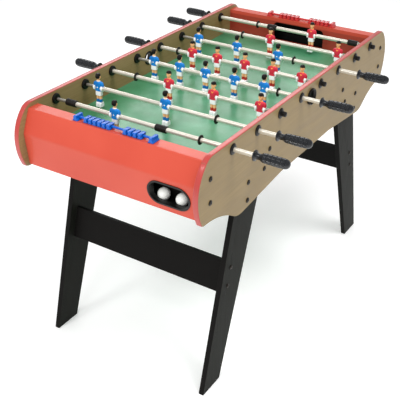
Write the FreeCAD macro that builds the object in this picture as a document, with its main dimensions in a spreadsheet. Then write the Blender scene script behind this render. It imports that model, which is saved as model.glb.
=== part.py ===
"""Foosball table, 4-foot class: a cabinet on four splayed legs with eight telescopic rods.

Frame: +Z up, floor at Z = 0, origin on the floor under the middle of the cabinet.
X runs along the rods, Y along the playfield from the near end (-Y) to the far end (+Y).
"""
import FreeCAD, Part
import math
import os
import re

from FreeCAD import Placement, Rotation, Vector

doc = FreeCAD.newDocument("FoosballTable")

# ---------------------------------------------------------------- driving dimensions
DIMENSIONS = {
    # side panels
    "inside_width": 574.8,
    "panel_thickness": 16,
    "panel_top": 796,
    "top_flat_half": 548,
    "corner_radius": 45,
    "nose_height": 693,
    "nose_reach": 618,
    "nose_upper_radius": 125,
    "nose_lower_radius": 175,
    "nose_tip_radius": 12,
    "nose_tip_bottom": 612,
    "ogee_radius": 260,
    "lobe_radius": 75,
    "lobe_bottom": 553,
    "belly_half": 165,
    "belly_bottom": 576,
    "banding_thickness": 1.5,
    # playfield and goal walls
    "field_top": 701,
    "field_thickness": 5,
    "field_groove": 4,
    "goal_wall_face": 527,
    "goal_wall_thickness": 9,
    "goal_wall_bottom": 650,
    "goal_width": 200,
    "goal_height": 66,
    "goal_corner": 16,
    # folded end panels
    "end_board": 12,
    "cap_top": 782,
    "cap_edge": 566,
    "crease_reach": 595,
    "crease_height": 716,
    "apron_foot_reach": 585,
    "apron_foot_height": 617,
    "crease_round": 22,
    "cap_round": 4,
    "corner_block": 20,
    "block_depth": 31,
    "block_bottom": 650,
    "block_height": 96,
    # goal pocket and ball return
    "moulding": 2,
    "moulding_gap": 0.4,
    "cut_past": 10,
    "pocket_left": -104,
    "pocket_top": 769.5,
    "pocket_floor_high": 668,
    "pocket_floor_low": 644,
    "pocket_floor_below": 3,
    "tray_left": 136,
    "tray_width": 125,
    "tray_floor": 626,
    "tray_top": 704,
    "inlet_height": 44,
    "inlet_depth": 31,
    "return_centre": 198,
    "return_height": 668,
    "bezel_length": 133,
    "bezel_width": 70,
    "bezel_rim": 5,
    "bezel_thickness": 2.5,
    "ball_diameter": 35,
    "ball_reach": 556.1,
    "ball_place_first": 160,
    "ball_place_second": 217,
    # legs
    "leg_board": 16,
    "leg_top": 695,
    "foot_outer": 562,
    "foot_inner": 471,
    "leg_top_outer": 369.6,
    "leg_top_inner": 223,
    "rail_reach": 423,
    "rail_top": 395,
    "rail_bottom": 300,
    # rods
    "rod_height": 771,
    "rod_pitch": 130,
    "tube_diameter": 12.7,
    "tube_bore": 9.6,
    "guide_diameter": 9.5,
    "guide_past_middle": 110,
    "tube_running_bore": 12.8,
    "guide_running_bore": 9.6,
    "tail_past_man": 19,
    "tail_past_keeper": 175,
    # bearings
    "bearing_hole": 22,
    "flange_diameter": 31,
    "flange_thickness": 5,
    "ring_diameter": 32,
    "ring_thickness": 6.4,
    "end_cap_diameter": 15,
    "end_cap_length": 13,
    "end_cap_bevel": 2,
    "stop_ring_diameter": 13,
    "stop_ring_length": 2.2,
    "running_gap": 0.5,
    # handle
    "handle_length": 99.5,
    "handle_socket": 74,
    "collar_diameter": 30,
    "collar_thickness": 5,
    "collar_bevel": 2,
    "neck_flare": 3,
    "grip_shoulder": 8,
    "neck_diameter": 17,
    "neck_length": 21,
    "grip_diameter": 27.4,
    "grip_rings": 5,
    "grip_groove": 1.2,
    "grip_round_end": 12,
    # players
    "arm_diameter": 18,
    "arm_span": 35,
    "shoulder_height": 21,
    "waist_height": -9,
    "torso_width": 26,
    "torso_depth": 15,
    "hips_bottom": -23,
    "hips_width": 22,
    "hips_depth": 15,
    "leg_width": 17,
    "leg_depth": 11,
    "shoe_top": -46,
    "shoe_bottom": -59.5,
    "shoe_width": 20,
    "shoe_toe": 10,
    "shoe_heel": 9,
    "head_centre": 33,
    "head_half_height": 13,
    "head_radius": 8,
    # loose pieces on the rods
    "bumper_diameter": 27,
    "bumper_thickness": 4,
    "bumper_bore": 12.8,
    "sleeve_diameter": 20,
    "sleeve_length": 35,
    "sleeve_offset": 155,
    # scorers
    "score_reach": 546,
    "score_bar_height": 789.4,
    "score_bar_diameter": 7,
    "score_post_width": 9,
    "score_post_foot": 17,
    "score_post_depth": 30,
    "score_post_height": 14.5,
    "bead_length": 13,
    "bead_depth": 24,
    "bead_height": 13.4,
    "bead_bore": 7.2,
    "bead_waist": 2.6,
    # hardware
    "bolt_hole": 6.5,
    "bolt_shank": 6,
    "bolt_head": 15,
    "bolt_head_height": 3.5,
    "nut_diameter": 13,
    "nut_height": 5,
    "bolt_past_nut": 1,
    "end_bolt_length": 30,
    "rail_screw_length": 45,
    "rail_screw_head": 12,
    # ball entry cups
    "entry_height": 752,
    "entry_outer": 50,
    "entry_bore": 36.5,
    "entry_hole": 41,
    "entry_lip": 7,
    "entry_ring": 46,
    "entry_flange": 2,
    "entry_bevel": 2,
}

# One entry per rod, from the near end to the far end: the side its handle is on (+1 or -1),
# the middle of each man and the loose bumper along X, and the outer end of the handle.
RODS = [
    {"side": 1, "men": [-71], "bumper": 207, "tip": 465},
    {"side": 1, "men": [-234, 7], "bumper": 176, "tip": 462},
    {"side": -1, "men": [-71, 85, 240], "bumper": -192, "tip": -433},
    {"side": 1, "men": [-218, -120, -24, 79, 180], "bumper": 228, "tip": 465},
    {"side": -1, "men": [-157, -61, 41, 140, 240], "bumper": -213, "tip": -434},
    {"side": 1, "men": [-216, -64, 90], "bumper": 148, "tip": 469},
    {"side": -1, "men": [-7, 243], "bumper": -116, "tip": -436},
    {"side": -1, "men": [87], "bumper": -127, "tip": -437},
]
# (distance from the middle, height) of the bolts on each side of each panel
LEG_BOLTS = [(250, 685), (277, 635), (366, 633), (368, 578)]
END_BOLTS = [(561, 734), (561, 666)]
RAIL_SCREWS = [(420, 379), (436, 324)]
# (end, first bead, last bead, count) of each run of score beads, and the posts of each end
BEAD_RUNS = {
    "blue_beads_left": (-1, -91, -15, 6),
    "blue_beads_right": (-1, 39, 87, 4),
    "red_beads_left": (1, -79, -15, 5),
    "red_beads_right": (1, 39, 103, 5),
}
SCORE_POSTS = {-1: (-124, 124), 1: (-124, 124)}

ENDS = {"near": -1, "far": 1}
ALONG_X = Rotation(Vector(0, 1, 0), 90)
HALF_TURN = Rotation(Vector(0, 0, 1), 180)

sheet = doc.addObject("Spreadsheet::Sheet", "Dimensions")
for row, (word, number) in enumerate(DIMENSIONS.items(), start=1):
    sheet.set(f"A{row}", word)
    sheet.set(f"B{row}", str(number))
    sheet.setAlias(f"B{row}", word)
doc.recompute()


# ---------------------------------------------------------------- helpers
def size(word):
    """The value of one cell of the sheet."""
    return float(sheet.get(word))


def bind(item, prop, formula):
    """Bind a property to a formula in the sheet's words."""
    words = r"\b(" + "|".join(DIMENSIONS) + r")\b"
    item.setExpression(prop, re.sub(words, r"Dimensions.\1", str(formula)))


def primitive(kind, name, sizes, place=None, turn=None):
    """A Part primitive whose sizes, and place if it has one, are formulas."""
    item = doc.addObject("Part::" + kind, name)
    if turn:
        item.Placement = Placement(Vector(), turn)
    for prop, formula in sizes.items():
        bind(item, prop, formula)
    for axis, formula in zip("xyz", place or ()):
        bind(item, "Placement.Base." + axis, formula)
    return item


def box(name, sides, corner=None):
    """A box from its three sides and its lowest corner."""
    return primitive("Box", name, dict(zip(("Length", "Width", "Height"), sides)), corner)


def rod_along_x(name, diameter, length, start):
    """A cylinder along +X from the middle of its first face."""
    sizes = {"Radius": f"({diameter}) / 2", "Height": length}
    return primitive("Cylinder", name, sizes, start, ALONG_X)


def fuse(name, shapes):
    item = doc.addObject("Part::MultiFuse", name)
    item.Shapes = shapes
    return item


def cut(name, base, tools):
    item = doc.addObject("Part::Cut", name)
    item.Base = base
    item.Tool = tools[0] if len(tools) == 1 else fuse(name + "_tools", tools)
    return item


def copy_of(name, source, place, turn=None):
    """A linked copy of a piece, moved and turned."""
    link = doc.addObject("App::Link", name)
    link.LinkedObject = source
    link.Placement = Placement(Vector(*place), turn or Rotation())
    return link


sub_parts = []


def sub_part(item, label):
    """Register a finished piece of the table under its own label."""
    item.Label = label
    sub_parts.append(item)
    return item


def group(label, pieces):
    """Several loose pieces of one kind as one sub-part."""
    item = doc.addObject("Part::Compound", label + "_set")
    item.Links = pieces
    return sub_part(item, label)


def sketch(body, name, plane_role, outlines):
    """A sketch on one of the body's own planes, holding closed outlines."""
    item = body.newObject("Sketcher::SketchObject", name)
    plane = next(f for f in body.Origin.OriginFeatures if f.Role == plane_role)
    item.AttachmentSupport = [(plane, "")]
    item.MapMode = "FlatFace"
    for outline in outlines:
        for piece in outline:
            item.addGeometry(piece, False)
    return item


def polygon(points):
    """Closed straight-sided outline through (across, up) points."""
    corners = [Vector(a, b, 0) for a, b in points]
    return [Part.LineSegment(p, q) for p, q in zip(corners, corners[1:] + corners[:1])]


def circle(centre, radius):
    return [Part.Circle(Vector(*centre, 0), Vector(0, 0, 1), radius)]


def arc(centre, radius, start, end):
    """Arc of a circle, counter-clockwise between two angles in degrees."""
    whole = Part.Circle(Vector(*centre, 0), Vector(0, 0, 1), radius)
    return Part.ArcOfCircle(whole, math.radians(start), math.radians(end))


def line(p, q):
    return Part.LineSegment(Vector(*p, 0), Vector(*q, 0))


def polar(centre, radius, angle):
    turn = math.radians(angle)
    return (centre[0] + radius * math.cos(turn), centre[1] + radius * math.sin(turn))


def pad(body, profile, length, midplane=False):
    item = body.newObject("PartDesign::Pad", profile.Name + "_pad")
    item.Profile = profile
    item.Midplane = midplane
    bind(item, "Length", length)
    return item


def pocket_through(body, profile):
    item = body.newObject("PartDesign::Pocket", profile.Name + "_pocket")
    item.Profile = profile
    item.Type = "ThroughAll"
    item.Midplane = True
    return item


def turned(body_name, outline, plane_role="XZ_Plane"):
    """A body turned about the X axis from its half profile of (along, radius) points."""
    body = doc.addObject("PartDesign::Body", body_name)
    profile = sketch(body, body_name + "_profile", plane_role, [outline])
    item = body.newObject("PartDesign::Revolution", body_name + "_turning")
    item.Profile = profile
    item.ReferenceAxis = (profile, ["H_Axis"])
    item.Angle = 360
    return body


def mirrored_ends(points):
    """The same (distance, height) points at both ends of the table."""
    return [(sign * reach, height) for reach, height in points for sign in (-1, 1)]


# ---------------------------------------------------------------- side panels
def bearing(reach_from, reach_to):
    """Angle in degrees from one centre to another."""
    return math.degrees(math.atan2(reach_to[1] - reach_from[1], reach_to[0] - reach_from[0]))


def nose_arcs(inset):
    """The curved end of a panel, from the top edge round to the tip, moved in by an inset."""
    top = size("panel_top")
    nose = size("nose_height")
    reach = size("nose_reach")
    corner = (size("top_flat_half"), top - size("corner_radius"))
    upper = (reach - size("nose_upper_radius"), nose)
    lower = (reach - size("nose_lower_radius"), nose)
    tip_height = size("nose_tip_bottom") + size("nose_tip_radius")
    tip_span = size("nose_lower_radius") - size("nose_tip_radius")
    tip = (lower[0] + math.sqrt(tip_span ** 2 - (nose - tip_height) ** 2), tip_height)
    shoulder = bearing(upper, corner)
    underside = bearing(lower, tip)
    return [
        (corner, size("corner_radius") - inset, shoulder, 90),
        (upper, size("nose_upper_radius") - inset, 0, shoulder),
        (lower, size("nose_lower_radius") - inset, underside, 0),
        (tip, size("nose_tip_radius") - inset, -90, underside),
    ]


def chain(arcs, mirror):
    """Arcs of one end of the outline joined end to end, for the +Y or the -Y end."""
    pieces = []
    previous = None
    for centre, radius, start, end in arcs:
        first = polar(centre, radius, end)
        if previous and math.dist(previous, first) > 1e-7:
            pieces.append(line((mirror * previous[0], previous[1]), (mirror * first[0], first[1])))
        if mirror > 0:
            pieces.append(arc(centre, radius, start, end))
        else:
            pieces.append(arc((-centre[0], centre[1]), radius, 180 - end, 180 - start))
        previous = polar(centre, radius, start)
    return pieces, previous


def panel_outline():
    """Whole outline of a side panel inside its edge banding, in (Y, Z)."""
    inset = size("banding_thickness")
    top = size("panel_top") - inset
    flat = size("top_flat_half")
    pieces = [line((-flat, top), (flat, top))]
    arcs = nose_arcs(inset)
    tip = arcs[-1][0]
    tip_end = (tip[0], size("nose_tip_bottom"))
    ogee = (tip[0], size("nose_tip_bottom") - size("ogee_radius"))
    lobe_height = size("lobe_bottom") + size("lobe_radius")
    spread = size("ogee_radius") + size("lobe_radius")
    lobe = (ogee[0] - math.sqrt(spread ** 2 - (lobe_height - ogee[1]) ** 2), lobe_height)
    turn_over = bearing(ogee, lobe)
    belly = (size("belly_half"), size("belly_bottom"))
    to_belly = math.dist(belly, lobe)
    tangent = bearing(lobe, belly) + math.degrees(math.acos(size("lobe_radius") / to_belly))
    for mirror in (1, -1):
        ends, last = chain(arcs, mirror)
        pieces += ends
        pieces.append(line((mirror * last[0], last[1]), (mirror * tip_end[0], tip_end[1])))
        if mirror > 0:
            pieces.append(arc(ogee, size("ogee_radius"), 90, turn_over))
            pieces.append(arc(lobe, size("lobe_radius"), tangent, turn_over + 180))
        else:
            pieces.append(arc((-ogee[0], ogee[1]), size("ogee_radius"), 180 - turn_over, 90))
            pieces.append(arc((-lobe[0], lobe[1]), size("lobe_radius"), -turn_over, 180 - tangent))
        foot = polar(lobe, size("lobe_radius"), tangent)
        pieces.append(line((mirror * foot[0], foot[1]), (mirror * belly[0], belly[1])))
    pieces.append(line(belly, (-belly[0], belly[1])))
    return pieces


def panel_holes():
    """Holes through a side panel: rods, ball entry and bolts, in (Y, Z)."""
    holes = [circle((rod_place(n), size("rod_height")), size("bearing_hole") / 2) for n in range(8)]
    holes.append(circle((0, size("entry_height")), size("entry_hole") / 2))
    for centre in mirrored_ends(LEG_BOLTS + END_BOLTS):
        holes.append(circle(centre, size("bolt_hole") / 2))
    return holes


def rod_place(number):
    """Y of a rod, counted from 0 at the near end."""
    return (number - 3.5) * size("rod_pitch")


def side_panel(label, side):
    """One wood-grain side panel; side is +1 for the right and -1 for the left."""
    body = doc.addObject("PartDesign::Body", label + "_body")
    outline = sketch(body, label + "_outline", "YZ_Plane", [panel_outline()])
    pad(body, outline, "panel_thickness")
    pocket_through(body, sketch(body, label + "_holes", "YZ_Plane", panel_holes()))
    reach = size("goal_wall_face")
    top = size("field_top")
    bottom = top - size("field_thickness")
    slot = [(-reach, bottom), (reach, bottom), (reach, top), (-reach, top)]
    groove = body.newObject("PartDesign::Pocket", label + "_groove")
    groove.Profile = sketch(body, label + "_groove_outline", "YZ_Plane", [polygon(slot)])
    groove.Reversed = True
    bind(groove, "Length", "field_groove")
    if side > 0:
        bind(body, "Placement.Base.x", "inside_width / 2")
    else:
        body.Placement = Placement(Vector(), HALF_TURN)
        bind(body, "Placement.Base.x", "-inside_width / 2")
    return sub_part(body, label)


def edge_band():
    """Red edge banding over the top and both ends of one side panel."""
    band = doc.addObject("PartDesign::Body", "banding")
    thickness = size("banding_thickness")
    flat = size("top_flat_half")
    pieces = []
    for inset in (0, thickness):
        level = size("panel_top") - inset
        pieces.append(line((-flat, level), (flat, level)))
        for mirror in (1, -1):
            pieces += chain(nose_arcs(inset), mirror)[0]
    tip = nose_arcs(0)[-1][0][0]
    bottom = size("nose_tip_bottom")
    for mirror in (1, -1):
        pieces.append(line((mirror * tip, bottom), (mirror * tip, bottom + thickness)))
    pad(band, sketch(band, "banding_outline", "YZ_Plane", [pieces]), "panel_thickness")
    return band


# ---------------------------------------------------------------- ends of the cabinet
def unit(p, q):
    length = math.dist(p, q)
    return ((q[0] - p[0]) / length, (q[1] - p[1]) / length)


def apron_faces():
    """Outer corners of the folded end panel, from the cap's inner edge to the foot."""
    return [
        (size("goal_wall_face"), size("cap_top")),
        (size("cap_edge"), size("cap_top")),
        (size("crease_reach"), size("crease_height")),
        (size("apron_foot_reach"), size("apron_foot_height")),
    ]


def moved_in(points, depth):
    """An open outline moved inwards, to the right of its direction of travel."""
    moved = []
    for index, point in enumerate(points):
        ways = []
        if index > 0:
            ways.append(unit(points[index - 1], point))
        if index < len(points) - 1:
            ways.append(unit(point, points[index + 1]))
        normals = [(way[1], -way[0]) for way in ways]
        if len(normals) == 1:
            moved.append((point[0] + depth * normals[0][0], point[1] + depth * normals[0][1]))
            continue
        total = (normals[0][0] + normals[1][0], normals[0][1] + normals[1][1])
        scale = depth / (1 + normals[0][0] * normals[1][0] + normals[0][1] * normals[1][1])
        moved.append((point[0] + scale * total[0], point[1] + scale * total[1]))
    return moved


def facing(body, end):
    """Turn a piece made for the far end round to its own end."""
    if end < 0:
        body.Placement = Placement(Vector(), HALF_TURN)
    return body


def obround(name, length, width, depth):
    """A stadium-ended block along X, centred on the origin, running back along -Y."""
    flat = box(name + "_middle", [f"{length} - {width}", depth, width],
               (f"-({length} - {width}) / 2", f"-({depth})", f"-({width}) / 2"))
    pieces = [flat]
    for sign in (-1, 1):
        sizes = {"Radius": f"({width}) / 2", "Height": depth}
        start = (f"{sign} * ({length} - {width}) / 2", 0, 0)
        pieces.append(primitive("Cylinder", f"{name}_round_{sign + 1}", sizes, start,
                                Rotation(Vector(1, 0, 0), 90)))
    return fuse(name, pieces)


def apron_tilt():
    """Angle in degrees that the lower facet leans in towards its foot."""
    run = size("crease_reach") - size("apron_foot_reach")
    return math.degrees(math.atan2(run, size("crease_height") - size("apron_foot_height")))


def on_apron(item, proud):
    """Put a piece made about the origin on the far apron's ball return, standing proud."""
    tilt = apron_tilt()
    rise = size("return_height") - size("apron_foot_height")
    reach = size("apron_foot_reach") + rise * math.tan(math.radians(tilt))
    out = Vector(0, math.cos(math.radians(tilt)), -math.sin(math.radians(tilt)))
    place = Vector(-size("return_centre"), reach, size("return_height")) + out * proud
    item.Placement = Placement(place, Rotation(Vector(1, 0, 0), -tilt))
    return item


def end_panel(label, end):
    """One board folded into the cap and the two facets of the apron."""
    body = doc.addObject("PartDesign::Body", label + "_board")
    outer = apron_faces()
    inner = moved_in(outer, size("end_board"))
    section = sketch(body, label + "_section", "YZ_Plane", [polygon(outer + inner[::-1])])
    board = pad(body, section, "inside_width", midplane=True)
    doc.recompute()
    for corner, radius in ((1, "cap_round"), (2, "crease_round")):
        tip = body.Tip
        edges = []
        for number, edge in enumerate(tip.Shape.Edges, start=1):
            middle = edge.CenterOfMass
            if math.dist((middle.y, middle.z), outer[corner]) < 0.01:
                edges.append(f"Edge{number}")
        rounding = body.newObject("PartDesign::Fillet", f"{label}_{radius}")
        rounding.Base = (tip, edges)
        bind(rounding, "Radius", radius)
        body.Tip = rounding
        doc.recompute()
    hole_size = "+ 2 * moulding - 2 * bezel_rim"
    hole = obround(label + "_return_hole", f"(bezel_length {hole_size})",
                   f"(bezel_width {hole_size})", "end_board * 3")
    on_apron(hole, size("end_board"))
    panel = cut(label + "_cut", body, [hole])
    return sub_part(facing(panel, end), label)


def goal_wall(name, end):
    """Inner end wall with the goal mouth, and the two blocks the end bolts screw into."""
    body = doc.addObject("PartDesign::Body", name + "_wall")
    half = size("inside_width") / 2
    low = size("goal_wall_bottom")
    high = size("cap_top") - size("end_board")
    face = [(-half, low), (half, low), (half, high), (-half, high)]
    mouth_half = size("goal_width") / 2
    floor = size("field_top")
    roof = floor + size("goal_height")
    corner = size("goal_corner")
    mouth = [
        line((-mouth_half, floor), (mouth_half, floor)),
        line((mouth_half, floor), (mouth_half, roof - corner)),
        arc((mouth_half - corner, roof - corner), corner, 0, 90),
        line((mouth_half - corner, roof), (corner - mouth_half, roof)),
        arc((corner - mouth_half, roof - corner), corner, 90, 180),
        line((-mouth_half, roof - corner), (-mouth_half, floor)),
    ]
    board = sketch(body, name + "_face", "XZ_Plane", [polygon(face), mouth])
    pad(body, board, "goal_wall_thickness").Reversed = True
    body.Placement = Placement(Vector(0, size("goal_wall_face"), 0), Rotation())
    pieces = [body]
    for sign in (-1, 1):
        left = "inside_width / 2 - corner_block" if sign > 0 else "-inside_width / 2"
        block = box(f"{name}_block_{sign + 1}", ["corner_block", "block_depth", "block_height"],
                    (left, "goal_wall_face + goal_wall_thickness", "block_bottom"))
        drills = []
        for index, (reach, height) in enumerate(END_BOLTS):
            drills.append(rod_along_x(f"{name}_drill_{sign + 1}_{index}", "bolt_shank",
                                      "corner_block", (left, reach, height)))
        pieces.append(cut(f"{name}_drilled_{sign + 1}", block, drills))
    whole = doc.addObject("Part::Compound", name)
    whole.Links = pieces
    return facing(whole, end)


def prism(name, points, length, start):
    """A body of constant (Y, Z) section along X."""
    body = doc.addObject("PartDesign::Body", name)
    pad(body, sketch(body, name + "_section", "YZ_Plane", [polygon(points)]), length)
    bind(body, "Placement.Base.x", start)
    return body


def inner_face(height, clearance):
    """Distance from the middle to the apron's inner face at a height, less a clearance."""
    corners = moved_in(apron_faces(), size("end_board") + clearance)[1:]
    for upper, lower in zip(corners, corners[1:]):
        if lower[1] <= height <= upper[1]:
            share = (upper[1] - height) / (upper[1] - lower[1])
            return upper[0] + share * (lower[0] - upper[0])
    return corners[-1][0]


def goal_pocket(name, end):
    """Black moulded pocket behind the goal mouth, its floor falling towards the ball return."""
    back = size("goal_wall_face") + size("goal_wall_thickness")
    wall = size("moulding")
    top = size("pocket_top")
    gap = size("moulding_gap")
    past = size("cut_past")
    bottom = size("pocket_floor_low") - wall - size("pocket_floor_below")
    crease = moved_in(apron_faces(), size("end_board") + gap)[2][1]

    def section(shrink, lowest, highest):
        heights = [lowest, crease, highest]
        slope = [(inner_face(height, gap + shrink), height) for height in heights]
        return [(back + shrink, lowest)] + slope + [(back + shrink, highest)]

    length = "tray_left - pocket_left"
    shell = prism(name + "_shell", section(0, bottom, top), length, "-tray_left")
    space = prism(name + "_space", section(wall, bottom + wall, top - wall),
                  f"{length} - moulding", "-tray_left")
    fall = size("pocket_floor_high") - size("pocket_floor_low")
    run = size("tray_left") - size("pocket_left")
    tilt = math.degrees(math.atan2(fall, run))
    deep = size("crease_reach") - back + 2 * past
    above = box(name + "_above_floor", [run * 2, deep, top - size("pocket_floor_low")])
    above.Placement = Placement(Vector(-size("tray_left"), back - past, size("pocket_floor_low")),
                                Rotation(Vector(0, 1, 0), -tilt))
    hollow = doc.addObject("Part::Common", name + "_hollow")
    hollow.Base = space
    hollow.Tool = above
    mouth = box(name + "_mouth", ["goal_width", "2 * cut_past", "goal_height"],
                ("-goal_width / 2", back - past, "field_top"))
    pocket = cut(name, shell, [hollow, mouth])
    return facing(pocket, end)


def ball_return(name, end):
    """Black moulded ball return: bezel and collar on the apron, and the tray behind it."""
    back = size("goal_wall_face") + size("goal_wall_thickness") + size("moulding_gap")
    wall = size("moulding")
    low = size("tray_floor")
    high = size("tray_top")

    def section(shrink):
        bottom = low + shrink
        top = high - shrink
        return [(back + shrink, bottom), (inner_face(bottom, shrink), bottom),
                (inner_face(top, shrink), top), (back + shrink, top)]

    tray = prism(name + "_tray", section(0), "tray_width", "-tray_left - tray_width")
    bezel = on_apron(obround(name + "_bezel", "bezel_length", "bezel_width", "bezel_thickness"),
                     size("bezel_thickness"))
    collar = on_apron(obround(name + "_collar", "(bezel_length - 2 * bezel_rim + 2 * moulding)",
                              "(bezel_width - 2 * bezel_rim + 2 * moulding)", "end_board"), 0)
    inside = prism(name + "_inside", section(wall), "tray_width - 2 * moulding",
                   "-tray_left - tray_width + moulding")
    window = on_apron(obround(name + "_window", "(bezel_length - 2 * bezel_rim)",
                              "(bezel_width - 2 * bezel_rim)", "end_board * 2"),
                      size("end_board") / 2)
    inlet = box(name + "_inlet", ["moulding * 4", "inlet_depth", "inlet_height"],
                ("-tray_left - moulding * 2", back + wall, "pocket_floor_low"))
    whole = cut(name, fuse(name + "_body", [tray, bezel, collar]), [inside, window, inlet])
    return facing(whole, end)


def ball_entry_cup(name, side):
    """Funnel through the side panel that the ball is dropped in by."""
    lip = size("entry_lip")
    wall = size("panel_thickness")
    bore = size("entry_bore") / 2
    barrel = size("entry_hole") / 2
    rim = size("entry_outer") / 2
    ring = size("entry_ring") / 2
    flange = size("entry_flange")
    bevel = size("entry_bevel")
    outline = [
        (-flange, bore), (wall + 1, bore), (wall + lip, rim - bevel), (wall + lip, rim),
        (wall, rim), (wall, barrel), (0, barrel), (0, ring), (-flange, ring),
    ]
    body = turned(name, polygon(outline))
    if side < 0:
        body.Placement = Placement(Vector(), HALF_TURN)
    bind(body, "Placement.Base.x", f"{side} * inside_width / 2")
    bind(body, "Placement.Base.z", "entry_height")
    return body


# ---------------------------------------------------------------- legs
def leg_edge(height, outer):
    """Distance of a leg's edge from the middle of the table at a height."""
    foot = size("foot_outer") if outer else size("foot_inner")
    head = size("leg_top_outer") if outer else size("leg_top_inner")
    return foot + (head - foot) * height / size("leg_top")


def leg(name, side, end):
    """One flat tapered leg board, drilled for its bolts and rail screws."""
    body = doc.addObject("PartDesign::Body", name)
    top = size("leg_top")
    board = [(leg_edge(0, True), 0), (leg_edge(top, True), top),
             (leg_edge(top, False), top), (leg_edge(0, False), 0)]
    outline = polygon([(end * reach, height) for reach, height in board])
    pad(body, sketch(body, name + "_outline", "YZ_Plane", [outline]), "leg_board")
    holes = [circle((end * reach, height), size("bolt_hole") / 2)
             for reach, height in LEG_BOLTS + RAIL_SCREWS]
    pocket_through(body, sketch(body, name + "_holes", "YZ_Plane", holes))
    left = "inside_width / 2 - leg_board" if side > 0 else "-inside_width / 2"
    bind(body, "Placement.Base.x", left)
    return body


def leg_rail(name, end):
    """Cross rail between the two legs of one end, leaning with their outer edges."""
    drop = size("rail_top") - size("rail_bottom")
    lean = (size("foot_outer") - size("leg_top_outer")) / size("leg_top")
    top = (size("rail_reach"), size("rail_top"))
    bottom = (size("rail_reach") + lean * drop, size("rail_bottom"))
    down = unit(top, bottom)
    inward = (down[1] * size("leg_board"), -down[0] * size("leg_board"))
    outline = [top, bottom, (bottom[0] + inward[0], bottom[1] + inward[1]),
               (top[0] + inward[0], top[1] + inward[1])]
    rail = prism(name, [(end * reach, height) for reach, height in outline],
                 "inside_width - 2 * leg_board", "leg_board - inside_width / 2")
    drills = []
    bite = "rail_screw_length - leg_board"
    for index, (reach, height) in enumerate(RAIL_SCREWS):
        for side in (-1, 1):
            start = "leg_board - inside_width / 2"
            if side > 0:
                start = f"inside_width / 2 - leg_board - ({bite})"
            drills.append(rod_along_x(f"{name}_drill_{index}_{side + 1}", "bolt_shank", bite,
                                      (start, end * reach, height)))
    return cut(name + "_drilled", rail, drills)


def bolt(name, head, shank_length, nut_face=None):
    """Button-head bolt pointing to -X, the underside of its head at the origin."""
    height = size("bolt_head_height")
    half = size(head) / 2
    shank = size("bolt_shank") / 2
    shape = [
        line((-shank_length, 0), (-shank_length, shank)),
        line((-shank_length, shank), (0, shank)),
        line((0, shank), (0, half)),
        line((0, half), (height * 0.35, half)),
        line((height * 0.35, half), (height, half * 0.55)),
        line((height, half * 0.55), (height, 0)),
        line((height, 0), (-shank_length, 0)),
    ]
    body = turned(name, shape)
    if nut_face is None:
        return body
    outer = rod_along_x(name + "_nut_outer", "nut_diameter", "nut_height",
                        (f"-({nut_face}) - nut_height", 0, 0))
    bore = rod_along_x(name + "_nut_bore", "bolt_shank", "nut_height",
                       (f"-({nut_face}) - nut_height", 0, 0))
    nut = cut(name + "_nut", outer, [bore])
    pair = doc.addObject("Part::Compound", name + "_with_nut")
    pair.Links = [body, nut]
    return pair


def bolts():
    """Every bolt and screw of the cabinet and legs."""
    through = size("panel_thickness") + size("leg_board")
    leg_bolt = bolt("leg_bolt", "bolt_head",
                    through + size("nut_height") + size("bolt_past_nut"),
                    "panel_thickness + leg_board")
    end_bolt = bolt("end_bolt", "bolt_head", size("end_bolt_length"))
    rail_screw = bolt("rail_screw", "rail_screw_head", size("rail_screw_length"))
    outside = size("inside_width") / 2 + size("panel_thickness")
    on_leg = size("inside_width") / 2
    pieces = []
    for source, places, reach in ((leg_bolt, LEG_BOLTS, outside), (end_bolt, END_BOLTS, outside),
                                  (rail_screw, RAIL_SCREWS, on_leg)):
        for along, height in mirrored_ends(places):
            for side in (-1, 1):
                turn = HALF_TURN if side < 0 else None
                pieces.append(copy_of(f"{source.Name}_copy_{len(pieces)}", source,
                                      (side * reach, along, height), turn))
    return group("bolts", pieces)


# ---------------------------------------------------------------- bearings
def rod_bearing(name, bore_word):
    """Flanged bush through the right-hand panel and the ring that holds it inside."""
    wall = size("panel_thickness")
    hole = size("bearing_hole") / 2
    bore = size(bore_word) / 2
    flange = size("flange_diameter") / 2
    depth = size("flange_thickness")
    ring = size("ring_diameter") / 2
    inward = size("ring_thickness")
    bush = turned(name + "_bush", polygon([
        (-inward, bore), (wall + depth, bore), (wall + depth, flange * 0.55),
        (wall + depth * 0.45, flange), (wall, flange), (wall, hole), (-inward, hole),
    ]))
    clamp_ring = turned(name + "_ring", polygon([
        (-inward, hole), (0, hole), (0, ring), (-inward * 0.5, ring), (-inward, ring * 0.85),
    ]))
    pair = doc.addObject("Part::Compound", name)
    pair.Links = [bush, clamp_ring]
    return pair


def rod_bearings():
    """Two bearings for each rod: a wide one for the tube, a narrow one for the guide rod."""
    wide = rod_bearing("tube_bearing", "tube_running_bore")
    narrow = rod_bearing("guide_bearing", "guide_running_bore")
    pieces = []
    for number, rod in enumerate(RODS):
        for side in (-1, 1):
            source = wide if side == rod["side"] else narrow
            place = (side * size("inside_width") / 2, rod_place(number), size("rod_height"))
            turn = HALF_TURN if side < 0 else None
            pieces.append(copy_of(f"bearing_{number + 1}_{side + 1}", source, place, turn))
    return group("rod_bearings", pieces)


# ---------------------------------------------------------------- rods
def tail(rod):
    """Distance of the tube's plain end beyond the middle, away from the handle."""
    last = -min(rod["side"] * x for x in rod["men"])
    past = "tail_past_keeper" if len(rod["men"]) == 1 else "tail_past_man"
    return last + size(past)


def facing_handle(item, number, rod):
    """Put a piece made along X, handle towards +X, on its rod."""
    turn = HALF_TURN if rod["side"] < 0 else Rotation()
    item.Placement = Placement(Vector(0, rod_place(number), size("rod_height")), turn)
    return item


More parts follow.
